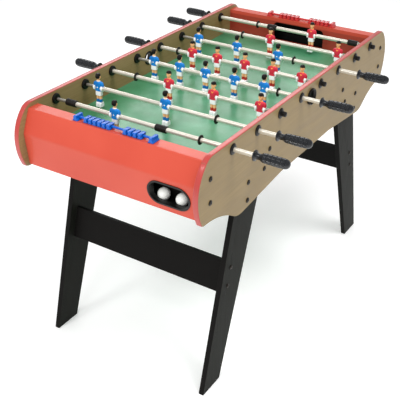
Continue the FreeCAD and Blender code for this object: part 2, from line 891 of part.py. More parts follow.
def rod_tube(number, rod):
    """Steel outer tube, from just past the last man into the handle."""
    start = -tail(rod)
    end = abs(rod["tip"]) - size("handle_length") + size("handle_socket")
    name = f"tube_{number + 1}"
    outer = rod_along_x(name + "_outer", "tube_diameter", end - start, (start, 0, 0))
    bore = rod_along_x(name + "_bore", "tube_bore", end - start, (start, 0, 0))
    return sub_part(facing_handle(cut(name, outer, [bore]), number, rod), f"rod_tube_{number + 1}")


def guide_rod(number, rod):
    """Inner guide rod, held in the far bearing by its end cap and its stop ring."""
    name = f"guide_{number + 1}"
    gap = size("running_gap")
    face = size("inside_width") / 2 + size("panel_thickness") + size("flange_thickness") + gap
    inner = size("inside_width") / 2 - size("ring_thickness") - gap
    cap_end = face + size("end_cap_length")
    length = size("guide_past_middle") + cap_end - size("end_cap_bevel")
    end = size("end_cap_bevel") - cap_end
    rim = size("end_cap_diameter") / 2
    core = size("guide_diameter") / 2
    guide = rod_along_x(name + "_rod", "guide_diameter", length, (end, 0, 0))
    cap = turned(name + "_cap", polygon([
        (-cap_end, 0), (-cap_end, rim - size("end_cap_bevel")), (end, rim), (-face, rim),
        (-face, core), (end, core), (end, 0),
    ]))
    ring_outer = rod_along_x(name + "_stop_outer", "stop_ring_diameter", "stop_ring_length",
                             (-inner, 0, 0))
    ring_bore = rod_along_x(name + "_stop_bore", "guide_diameter", "stop_ring_length",
                            (-inner, 0, 0))
    whole = doc.addObject("Part::Compound", name)
    whole.Links = [guide, cap, cut(name + "_stop", ring_outer, [ring_bore])]
    return sub_part(facing_handle(whole, number, rod), f"guide_rod_{number + 1}")


def handle_profile():
    """Half profile of a handle: collar, neck, ringed grip and round end, with a blind socket."""
    socket = size("handle_socket")
    bore = size("tube_diameter") / 2
    length = size("handle_length")
    collar = size("collar_diameter") / 2
    neck = size("neck_diameter") / 2
    grip = size("grip_diameter") / 2
    rings = int(size("grip_rings"))
    grip_start = size("collar_thickness") + size("neck_length")
    round_end = size("grip_round_end")
    pitch = (length - round_end - grip_start) / rings
    groove = size("grip_groove")
    thick = size("collar_thickness")
    bevel = size("collar_bevel")
    points = [(0, bore), (0, collar - bevel), (bevel, collar), (thick, collar - bevel / 2),
              (thick + size("neck_flare"), neck), (grip_start - size("grip_shoulder"), neck)]
    for ring in range(rings):
        start = grip_start + ring * pitch
        swell = grip * min(1, 0.80 + 0.24 * (ring + 0.5) / rings)
        points += [(start, swell - groove), (start + groove, swell),
                   (start + pitch - groove, swell), (start + pitch, swell - groove)]
    points += [(length - round_end * 0.55, grip * 0.84), (length - round_end * 0.15, grip * 0.45),
               (length, 0), (socket, 0), (socket, bore)]
    return points


def handle(number, rod):
    """Black moulded handle pushed on the end of the tube."""
    body = turned(f"handle_{number + 1}_turned", polygon(handle_profile()))
    facing_handle(body, number, rod)
    shift = rod["side"] * (abs(rod["tip"]) - size("handle_length"))
    body.Placement.Base = body.Placement.Base + Vector(shift, 0, 0)
    return sub_part(body, f"handle_{number + 1}")


def bumper(number, rod):
    """Loose rubber disc on the tube, between the last man and the handle's panel."""
    name = f"disc_{number + 1}"
    start = f"{rod['side'] * rod['bumper']} - bumper_thickness / 2"
    outer = rod_along_x(name + "_outer", "bumper_diameter", "bumper_thickness", (start, 0, 0))
    bore = rod_along_x(name + "_bore", "bumper_bore", "bumper_thickness", (start, 0, 0))
    return sub_part(facing_handle(cut(name, outer, [bore]), number, rod), f"bumper_{number + 1}")


def man():
    """One moulded player about the rod's axis, facing +Y, bored for the tube."""
    arms = rod_along_x("man_arms", "arm_diameter", "arm_span", ("-arm_span / 2", 0, 0))
    torso = box("man_torso", ["torso_width", "torso_depth", "shoulder_height - waist_height"],
                ("-torso_width / 2", "-torso_depth / 2", "waist_height"))
    head = primitive("Ellipsoid", "man_head",
                     {"Radius1": "head_half_height", "Radius2": "head_radius",
                      "Radius3": "head_radius"}, (0, 0, "head_centre"))
    hips = box("man_hips", ["hips_width", "hips_depth", "waist_height - hips_bottom"],
               ("-hips_width / 2", "-hips_depth / 2", "hips_bottom"))
    legs = box("man_legs", ["leg_width", "leg_depth", "hips_bottom - shoe_top"],
               ("-leg_width / 2", "-leg_depth / 2", "shoe_top"))
    shoes = box("man_shoes", ["shoe_width", "shoe_toe + shoe_heel", "shoe_top - shoe_bottom"],
                ("-shoe_width / 2", "-shoe_heel", "shoe_bottom"))
    bore = rod_along_x("man_bore", "tube_diameter", "arm_span * 2", ("-arm_span", 0, 0))
    return cut("man", fuse("man_solid", [arms, torso, head, hips, legs, shoes]), [bore])


def sleeve():
    """Spacer sleeve of a goalkeeper's rod, centred on the origin."""
    start = ("-sleeve_length / 2", 0, 0)
    outer = rod_along_x("sleeve_outer", "sleeve_diameter", "sleeve_length", start)
    bore = rod_along_x("sleeve_bore", "tube_diameter", "sleeve_length", start)
    return cut("sleeve", outer, [bore])


def team(number, rod, player, spacer):
    """The men of one rod, facing away from their own goal, and the keeper's spacers."""
    turn = HALF_TURN if rod["side"] < 0 else None
    level = size("rod_height")
    across = rod_place(number)
    pieces = []
    for index, x in enumerate(rod["men"]):
        pieces.append(copy_of(f"man_{number + 1}_{index + 1}", player, (x, across, level), turn))
    if len(rod["men"]) == 1:
        for sign in (-1, 1):
            x = rod["men"][0] + sign * size("sleeve_offset")
            pieces.append(copy_of(f"sleeve_{number + 1}_{sign + 1}", spacer, (x, across, level)))
    return group(f"men_{number + 1}", pieces)


# ---------------------------------------------------------------- scorers
def score_post(name):
    """Post of a scorer, wider at its foot, standing on the cap."""
    body = doc.addObject("PartDesign::Body", name)
    foot = size("score_post_foot") / 2
    head = size("score_post_width") / 2
    rise = size("score_post_height")
    outline = [(-foot, 0), (foot, 0), (head, rise * 0.45), (head, rise), (-head, rise),
               (-head, rise * 0.45)]
    pad(body, sketch(body, name + "_outline", "XZ_Plane", [polygon(outline)]),
        "score_post_depth", midplane=True)
    return body


def scorer(name, end, post):
    """Bar between two posts on the cap of one end."""
    left, right = SCORE_POSTS[end]
    reach = end * size("score_reach")
    posts = [copy_of(f"{name}_post_{index}", post, (x, reach, size("cap_top")))
             for index, x in enumerate((left, right))]
    bar = rod_along_x(name + "_bar", "score_bar_diameter", right - left,
                      (left, reach, "score_bar_height"))
    return fuse(name, posts + [bar])


def bead(name):
    """Hourglass score bead, bored for its bar, centred on the bar."""
    body = doc.addObject("PartDesign::Body", name + "_block")
    half = size("bead_length") / 2
    waist = half - size("bead_waist")
    foot = -size("bead_height") / 2
    top = size("bead_height") / 2
    outline = [(-half, foot), (half, foot), (half, foot * 0.55), (waist, 0), (half, top * 0.75),
               (half, top), (-half, top), (-half, top * 0.75), (-waist, 0), (-half, foot * 0.55)]
    pad(body, sketch(body, name + "_outline", "XZ_Plane", [polygon(outline)]),
        "bead_depth", midplane=True)
    bore = rod_along_x(name + "_bore", "bead_bore", "bead_length * 2", ("-bead_length", 0, 0))
    return cut(name, body, [bore])


def bead_run(label, end, first, last, count, source):
    """One run of score beads pushed together on a bar."""
    pitch = (last - first) / (count - 1)
    pieces = []
    for index in range(count):
        place = (first + index * pitch, end * size("score_reach"), size("score_bar_height"))
        pieces.append(copy_of(f"{label}_{index + 1}", source, place))
    return group(label, pieces)


def balls():
    """The two balls in the near return's tray."""
    half = size("ball_diameter") / 2
    level = size("tray_floor") + size("moulding") + half
    pieces = []
    for index, word in enumerate(("ball_place_first", "ball_place_second")):
        pieces.append(primitive("Sphere", f"ball_{index + 1}", {"Radius": "ball_diameter / 2"},
                                (word, "-ball_reach", level)))
    return group("balls", pieces)


# ---------------------------------------------------------------- the table
def build():
    side_panel("right_side_panel", 1)
    side_panel("left_side_panel", -1)
    band = edge_band()
    half = size("inside_width") / 2
    group("edge_trims", [copy_of("right_banding", band, (half, 0, 0)),
                         copy_of("left_banding", band, (-half, 0, 0), HALF_TURN)])
    sub_part(box("field_board", ["inside_width + 2 * field_groove", "2 * goal_wall_face",
                                 "field_thickness"],
                 ("-inside_width / 2 - field_groove", "-goal_wall_face",
                  "field_top - field_thickness")), "playfield")
    end_panel("near_end_panel", -1)
    end_panel("far_end_panel", 1)
    group("goal_walls", [goal_wall(f"{name}_goal", end) for name, end in ENDS.items()])
    group("goal_pockets", [goal_pocket(f"{name}_pocket", end) for name, end in ENDS.items()])
    group("ball_returns", [ball_return(f"{name}_return", end) for name, end in ENDS.items()])
    group("ball_entry_cups", [ball_entry_cup("right_entry", 1), ball_entry_cup("left_entry", -1)])
    group("legs", [leg(f"leg_{end + 1}_{side + 1}", side, end)
                   for end in (-1, 1) for side in (-1, 1)])
    group("leg_rails", [leg_rail(f"{name}_rail", end) for name, end in ENDS.items()])
    bolts()
    rod_bearings()
    post = score_post("score_post")
    group("score_rails", [scorer(f"{name}_scorer", end, post) for name, end in ENDS.items()])
    score_bead = bead("score_bead")
    for label, (end, first, last, count) in BEAD_RUNS.items():
        bead_run(label, end, first, last, count, score_bead)
    balls()
    player = man()
    spacer = sleeve()
    for number, rod in enumerate(RODS):
        guide_rod(number, rod)
        rod_tube(number, rod)
        team(number, rod, player, spacer)
        handle(number, rod)
        bumper(number, rod)
    doc.recompute()


def check():
    """Stop before anything is written if an object failed or a shape isn't sound."""
    for item in doc.Objects:
        if "Invalid" in item.State or "Error" in item.State:
            raise RuntimeError(f"{item.Name} failed: {item.State}")
    for item in sub_parts:
        shape = item.Shape
        if shape.isNull() or not shape.isValid() or not shape.Solids:
            raise RuntimeError(f"{item.Label} has no sound shape")


build()
check()
os.makedirs("parts", exist_ok=True)
for item in sub_parts:
    item.Shape.exportStep(f"parts/{item.Label}.step")
print(len(sub_parts), "sub-parts written")
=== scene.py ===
"""Foosball table: the finished look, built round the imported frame. Metres, +Z up."""
import math

import bmesh
import bpy
import numpy
from mathutils import Matrix, Vector


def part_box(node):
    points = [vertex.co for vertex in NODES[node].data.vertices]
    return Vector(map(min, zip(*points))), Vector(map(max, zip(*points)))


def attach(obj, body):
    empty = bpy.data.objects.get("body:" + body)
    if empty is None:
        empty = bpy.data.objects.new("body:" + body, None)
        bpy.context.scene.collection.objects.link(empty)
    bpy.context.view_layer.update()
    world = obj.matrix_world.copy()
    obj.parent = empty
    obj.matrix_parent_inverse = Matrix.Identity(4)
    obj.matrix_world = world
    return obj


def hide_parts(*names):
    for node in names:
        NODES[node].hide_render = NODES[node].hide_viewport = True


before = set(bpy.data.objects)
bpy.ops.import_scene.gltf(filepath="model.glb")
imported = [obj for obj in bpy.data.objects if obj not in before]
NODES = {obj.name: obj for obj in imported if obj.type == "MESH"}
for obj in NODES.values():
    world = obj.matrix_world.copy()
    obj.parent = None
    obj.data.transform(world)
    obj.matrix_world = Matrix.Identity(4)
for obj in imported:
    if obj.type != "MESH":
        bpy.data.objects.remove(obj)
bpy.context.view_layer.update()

MM = 0.001
RODS = range(1, 9)
BLUE_RODS = (1, 2, 4, 6)

# shared sizes, in millimetres
TUBE_RADIUS = 6.35
GUIDE_RADIUS = 4.75
BALL_RADIUS = 17.5
PANEL_THICKNESS = 16.0
TUBE_BORE = 6.4
GUIDE_BORE = 4.8
BEARING_INSIDE = 6.4
BEARING_OUTSIDE = 5.0
END_CAP_LENGTH = 13.0
STOP_RING_WIDTH = 2.2
END_PLAY = 0.5
HANDLE_LENGTH = 99.5
BOLT_HEAD_HEIGHT = 3.5
POST_FOOT = 17.0

MERGE_DISTANCE = 2e-6  # metres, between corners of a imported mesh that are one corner
SIDES = ((-1, "left"), (1, "right"))


# ---------------------------------------------------------------- materials
def linear(red, green, blue):
    """An sRGB colour of 0 to 255 as linear light, with full opacity."""
    def channel(value):
        share = value / 255
        return share / 12.92 if share <= 0.04045 else ((share + 0.055) / 1.055) ** 2.4
    return (channel(red), channel(green), channel(blue), 1.0)


def new_material(name, colour, roughness, metallic=0.0, coat=0.0, coat_roughness=0.06, specular=0.5):
    """A principled material with its plain values on its own sockets."""
    material = bpy.data.materials.new(name)
    material.use_nodes = True
    surface = material.node_tree.nodes["Principled BSDF"]
    surface.inputs["Base Color"].default_value = linear(*colour)
    surface.inputs["Roughness"].default_value = roughness
    surface.inputs["Metallic"].default_value = metallic
    surface.inputs["Specular IOR Level"].default_value = specular
    surface.inputs["Coat Weight"].default_value = coat
    surface.inputs["Coat Roughness"].default_value = coat_roughness
    return material


def noise(material, scale, detail=3.0, stretch=(1, 1, 1)):
    """A noise texture in the piece's own coordinates; scale is in waves per metre."""
    nodes = material.node_tree.nodes
    links = material.node_tree.links
    place = nodes.new("ShaderNodeTexCoord")
    mapping = nodes.new("ShaderNodeMapping")
    mapping.inputs["Scale"].default_value = [scale * factor for factor in stretch]
    texture = nodes.new("ShaderNodeTexNoise")
    texture.inputs["Scale"].default_value = 1.0
    texture.inputs["Detail"].default_value = detail
    links.new(place.outputs["Object"], mapping.inputs["Vector"])
    links.new(mapping.outputs["Vector"], texture.inputs["Vector"])
    return texture.outputs["Fac"]


def ramp(material, source, stops):
    """A colour ramp from (position, colour) stops."""
    node = material.node_tree.nodes.new("ShaderNodeValToRGB")
    elements = node.color_ramp.elements
    while len(elements) < len(stops):
        elements.new(0.5)
    for element, (position, colour) in zip(elements, stops):
        element.position = position
        element.color = linear(*colour)
    material.node_tree.links.new(source, node.inputs["Fac"])
    return node.outputs["Color"]


def spread(material, source, low, high):
    """Maps a 0.3 to 0.7 noise onto a range of plain numbers."""
    node = material.node_tree.nodes.new("ShaderNodeMapRange")
    node.inputs["From Min"].default_value = 0.3
    node.inputs["From Max"].default_value = 0.7
    node.inputs["To Min"].default_value = low
    node.inputs["To Max"].default_value = high
    material.node_tree.links.new(source, node.inputs["Value"])
    return node.outputs["Result"]


def multiplied(material, base, over, factor):
    """The base colour darkened by a second one, by a share of its strength."""
    blend = material.node_tree.nodes.new("ShaderNodeMix")
    blend.data_type = "RGBA"
    blend.blend_type = "MULTIPLY"
    blend.inputs["Factor"].default_value = factor
    material.node_tree.links.new(base, blend.inputs["A"])
    material.node_tree.links.new(over, blend.inputs["B"])
    return blend.outputs["Result"]


def into(material, source, socket):
    """Feeds a node's output to one of the surface's sockets."""
    surface = material.node_tree.nodes["Principled BSDF"]
    material.node_tree.links.new(source, surface.inputs[socket])


def bump(material, source, depth, strength=0.5):
    """Fine relief, depth in metres, on top of any relief already there."""
    nodes = material.node_tree.nodes
    surface = nodes["Principled BSDF"]
    relief = nodes.new("ShaderNodeBump")
    relief.inputs["Strength"].default_value = strength
    relief.inputs["Distance"].default_value = depth
    links = material.node_tree.links
    if surface.inputs["Normal"].is_linked:
        links.new(surface.inputs["Normal"].links[0].from_socket, relief.inputs["Normal"])
    links.new(source, relief.inputs["Height"])
    links.new(relief.outputs["Normal"], surface.inputs["Normal"])


def moulded(name, dark, light, roughness=0.35, coat=0.0, grain=900, depth=0.00012, specular=0.5):
    """Injection-moulded plastic: slightly uneven colour and gloss, with a fine skin."""
    material = new_material(name, light, roughness, coat=coat, specular=specular)
    into(material, ramp(material, noise(material, 45), [(0.3, dark), (0.7, light)]), "Base Color")
    into(material, spread(material, noise(material, 160), roughness * 0.85, roughness * 1.2),
         "Roughness")
    bump(material, noise(material, grain), depth, 0.35)
    return material


def laminated_wood():
    """Printed wood-grain laminate, its figure running along the table."""
    material = new_material("woodgrain", (160, 138, 100), 0.45, coat=0.08, coat_roughness=0.25,
                            specular=0.3)
    broad = noise(material, 1, 5, (26, 2.2, 26))
    fine = noise(material, 1, 3, (420, 11, 420))
    tone = ramp(material, broad, [(0.30, (134, 113, 73)), (0.5, (142, 121, 81)),
                                  (0.72, (150, 129, 89))])
    streak = ramp(material, fine, [(0.36, (205, 198, 184)), (0.6, (255, 255, 255))])
    into(material, multiplied(material, tone, streak, 0.3), "Base Color")
    into(material, spread(material, broad, 0.36, 0.5), "Roughness")
    bump(material, fine, 0.0001, 0.3)
    return material


def gloss_board(name, dark, light, roughness=0.24, coat=0.2, ripple=0.00035, specular=0.5):
    """Lacquered board with the faint long ripple that shows in its reflections."""
    material = new_material(name, light, roughness, coat=coat, coat_roughness=0.12, specular=specular)
    into(material, ramp(material, noise(material, 5, 2), [(0.32, dark), (0.68, light)]),
         "Base Color")
    into(material, spread(material, noise(material, 25), roughness * 0.9, roughness * 1.15),
         "Roughness")
    bump(material, noise(material, 7, 1), ripple, 0.5)
    return material


def green_field():
    """Glossy printed playing surface, mottled like cut turf."""
    material = new_material("field_print", (84, 158, 118), 0.36, coat=0.2, coat_roughness=0.22)
    patches = ramp(material, noise(material, 9, 4),
                   [(0.28, (56, 124, 84)), (0.5, (72, 142, 102)), (0.72, (92, 160, 122))])
    specks = ramp(material, noise(material, 380, 2),
                  [(0.35, (225, 235, 228)), (0.65, (255, 255, 255))])
    into(material, multiplied(material, patches, specks, 0.7), "Base Color")
    into(material, spread(material, noise(material, 30), 0.32, 0.42), "Roughness")
    bump(material, noise(material, 260, 2), 0.00008, 0.3)
    return material


def charcoal_board():
    """Black ash laminate: the broad faces, which look along X, are lighter than the edges."""
    material = new_material("charcoal_board", (28, 29, 26), 0.55, specular=0.06)
    grain = noise(material, 1, 4, (300, 300, 8))
    face = ramp(material, grain, [(0.35, (24, 25, 22)), (0.65, (32, 33, 29))])
    nodes = material.node_tree.nodes
    links = material.node_tree.links
    surface = nodes.new("ShaderNodeNewGeometry")
    parts = nodes.new("ShaderNodeSeparateXYZ")
    links.new(surface.outputs["True Normal"], parts.inputs["Vector"])
    size = nodes.new("ShaderNodeMath")
    size.operation = "ABSOLUTE"
    links.new(parts.outputs["X"], size.inputs[0])
    wide = nodes.new("ShaderNodeMapRange")
    wide.inputs["From Min"].default_value = 0.6
    wide.inputs["From Max"].default_value = 0.9
    links.new(size.outputs["Value"], wide.inputs["Value"])
    blend = nodes.new("ShaderNodeMix")
    blend.data_type = "RGBA"
    blend.inputs["A"].default_value = linear(19, 18, 17)
    links.new(wide.outputs["Result"], blend.inputs["Factor"])
    links.new(face, blend.inputs["B"])
    into(material, blend.outputs["Result"], "Base Color")
    into(material, spread(material, grain, 0.42, 0.58), "Roughness")
    bump(material, grain, 0.00012, 0.35)
    return material


def polished_metal(name, dull, bright, roughness, metallic):
    """Plated steel, a touch uneven in tone and polish along its length."""
    material = new_material(name, bright, roughness, metallic=metallic)
    into(material, ramp(material, noise(material, 14), [(0.3, dull), (0.7, bright)]), "Base Color")
    into(material, spread(material, noise(material, 30), roughness * 0.85, roughness * 1.2),
         "Roughness")
    return material


def skin_paint(name, dark, light):
    """The smooth gloss paint of the players."""
    return moulded(name, dark, light, roughness=0.33, grain=1500, depth=0.00008)


class Palette:
    """Every finish of the table, made once."""

    woodgrain = laminated_wood()
    red_board = gloss_board("red_board", (186, 70, 53), (194, 78, 60), roughness=0.38, specular=0.18)
    # the goal walls' red is the end boards' red painted darker: painted shade for the dimmer light
    # inside the table
    shaded_red = gloss_board("dark_red_board", (150, 50, 38), (164, 60, 46), roughness=0.3)
    banding = gloss_board("red_banding", (164, 56, 52), (178, 66, 60), roughness=0.32, coat=0.16,
                          ripple=0.0001)
    field = green_field()
    charcoal = charcoal_board()
    chrome = polished_metal("chromed_tube", (222, 216, 202), (236, 231, 218), 0.34, 0.6)
    steel = polished_metal("bright_steel", (160, 157, 149), (176, 174, 166), 0.34, 0.8)
    dark_steel = moulded("blackened_steel", (26, 21, 16), (38, 32, 26), roughness=0.4, specular=0.3)
    black = moulded("black_moulding", (12, 11, 10), (20, 18, 17), roughness=0.33, specular=0.3)
    liner = moulded("black_liner", (12, 12, 12), (18, 18, 17), roughness=0.5, specular=0.25)
    rubber = moulded("black_rubber", (20, 18, 17), (30, 27, 26), roughness=0.45, grain=1600,
                     specular=0.35)
    grip = moulded("grip_plastic", (14, 16, 19), (22, 25, 30), roughness=0.27, coat=0.15)
    blue = moulded("blue_moulding", (2, 78, 170), (6, 92, 188), roughness=0.28, coat=0.12,
                   specular=0.3)
    red = moulded("red_moulding", (176, 40, 44), (198, 54, 56), roughness=0.25, coat=0.2)
    ball = moulded("ball_white", (240, 240, 234), (250, 250, 245), roughness=0.35)
    skin = skin_paint("skin_paint", (236, 176, 122), (246, 194, 142))
    hair = moulded("hair_paint", (12, 10, 9), (20, 17, 15), grain=1500, depth=0.00008, specular=0.35)
    white = skin_paint("white_paint", (242, 243, 244), (250, 251, 251))
    blue_shirt = skin_paint("blue_shirt_paint", (10, 108, 190), (24, 128, 206))
    blue_socks = skin_paint("blue_sock_paint", (8, 104, 176), (16, 120, 194))
    red_shirt = skin_paint("red_shirt_paint", (192, 38, 58), (214, 52, 70))
    red_socks = skin_paint("red_sock_paint", (176, 40, 32), (194, 52, 42))
    pale_collar = skin_paint("pale_collar_paint", (236, 226, 212), (246, 238, 226))
    amber_collar = skin_paint("amber_collar_paint", (240, 150, 62), (248, 172, 82))


# ---------------------------------------------------------------- mesh helpers
def finish_mesh(name, shape, materials, sharp=35):
    """Turns a bmesh into a mesh with smooth shading broken at real corners."""
    bmesh.ops.remove_doubles(shape, verts=shape.verts, dist=1e-7)
    bmesh.ops.recalc_face_normals(shape, faces=shape.faces)
    mesh = bpy.data.meshes.new(name)
    shape.to_mesh(mesh)
    shape.free()
    mesh.shade_smooth()
    mesh.set_sharp_from_angle(angle=math.radians(sharp))
    for material in materials:
        mesh.materials.append(material)
    return mesh


def piece(name, mesh, body, replaced=(), place=None):
    """Adds a piece to the scene, riding on its body and standing for its CAD nodes."""
    item = bpy.data.objects.new(name, mesh)
    bpy.context.scene.collection.objects.link(item)
    item.matrix_world = place or Matrix.Identity(4)
    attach(item, body)
    if replaced:
        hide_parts(*replaced)
    return item


def skin_rings(shape, rings, material=0, closed=True):
    """Faces between rings of points, each ring with the same number of them."""
    layers = [[shape.verts.new(point) for point in ring] for ring in rings]
    count = len(layers[0])
    for lower, upper in zip(layers, layers[1:]):
        for k in range(count):
            corner = (k + 1) % count
            face = shape.faces.new((lower[k], lower[corner], upper[corner], upper[k]))
            face.material_index = material
    if closed:
        for layer in (layers[0], layers[-1]):
            middle = shape.verts.new(sum((v.co for v in layer), Vector()) / count)
            for k in range(count):
                face = shape.faces.new((layer[k], layer[(k + 1) % count], middle))
                face.material_index = material


def turn_about_x(shape, profile, material=0, segments=56, closed=False):
    """Turns (along, radius) points in millimetres about the X axis."""
    rings = []
    for along, radius in profile:
        ring = []
        for k in range(segments):
            turn = 2 * math.pi * k / segments
            ring.append(Vector((along, radius * math.cos(turn), radius * math.sin(turn))) * MM)
        rings.append(ring)
    skin_rings(shape, rings, material, closed)


def level_ring(level, half_x, half_y, shift_y=0.0, power=2.0, shift_x=0.0, count=28):
    """A flat superellipse ring in millimetres; a higher power is squarer."""
    ring = []
    for k in range(count):
        turn = 2 * math.pi * k / count
        across, along = math.cos(turn), math.sin(turn)
        x = half_x * math.copysign(abs(across) ** (2 / power), across)
        y = half_y * math.copysign(abs(along) ** (2 / power), along)
        ring.append(Vector((shift_x + x, shift_y + y, level)) * MM)
    return ring


SECTION_DEFAULTS = [0.0, 2.0, 0.0]  # shift y, power and shift x, where a section leaves them out


def smoothed(sections, steps=4):
    """Extra sections between the given ones, on a Catmull-Rom curve through them all."""
    rows = [list(section) + SECTION_DEFAULTS[len(section) - 3:] for section in sections]
    result = []
    for index in range(len(rows) - 1):
        before = rows[max(index - 1, 0)]
        start, end = rows[index], rows[index + 1]
        after = rows[min(index + 2, len(rows) - 1)]
        for step in range(steps):
            t = step / steps
            row = []
            for a, b, c, d in zip(before, start, end, after):
                row.append(0.5 * (2 * b + (c - a) * t + (2 * a - 5 * b + 4 * c - d) * t ** 2
                                  + (3 * b - 3 * c + d - a) * t ** 3))
            result.append(row)
    result.append(rows[-1])
    return result


def tower(shape, sections, material, steps=4):
    """A closed form through level sections (level, half x, half y, shift y, power, shift x)."""
    rings = [level_ring(*section) for section in smoothed(sections, steps)]
    skin_rings(shape, rings, material)


def ellipsoid(shape, centre, half, material, segments=24):
    """A closed ellipsoid in millimetres."""
    rings = []
    for index in range(1, segments // 2):
        lean = math.pi * index / (segments // 2)
        level = centre[2] - half[2] * math.cos(lean)
        wide = math.sin(lean)
        rings.append(level_ring(level, half[0] * wide, half[1] * wide, centre[1],
                                2.0, centre[0], segments))
    skin_rings(shape, rings, material)


def solids(node):
    """The separate solids of a CAD node as (lowest corner, highest corner), in order of X."""
    mesh = NODES[node].data
    spots = numpy.empty(len(mesh.vertices) * 3)
    mesh.vertices.foreach_get("co", spots)
    spots = spots.reshape(-1, 3)
    merged = numpy.unique(numpy.round(spots, 6), axis=0, return_inverse=True)[1].reshape(-1)
    owner = list(range(int(merged.max()) + 1))

    def root(index):
        while owner[index] != index:
            owner[index] = owner[owner[index]]
            index = owner[index]
        return index

    for edge in mesh.edges:
        first, second = (root(int(merged[v])) for v in edge.vertices)
        owner[first] = second
    groups = {}
    for vertex, spot in zip(merged, spots):
        groups.setdefault(root(int(vertex)), []).append(spot)
    corners = [(numpy.min(group, axis=0), numpy.max(group, axis=0)) for group in groups.values()]
    return sorted(corners, key=lambda pair: (round(pair[0][0], 4), round(pair[0][1], 4)))


def middle(pair):
    """The middle of a (lowest corner, highest corner) pair."""
    return Vector((pair[0] + pair[1]) / 2)


HALF_TURN = Matrix.Rotation(math.pi, 4, "Z")


def at(place, turned=False):
    """A placing matrix, turned half round about Z if asked."""
    matrix = Matrix.Translation(place)
    return matrix @ HALF_TURN if turned else matrix


# ---------------------------------------------------------------- players
SKIN, HAIR, SHIRT, COLLAR, WHITE, SOCKS = range(6)
SHORTEST_PLAYER = 50.0
SLEEVE_LENGTH = 35.0


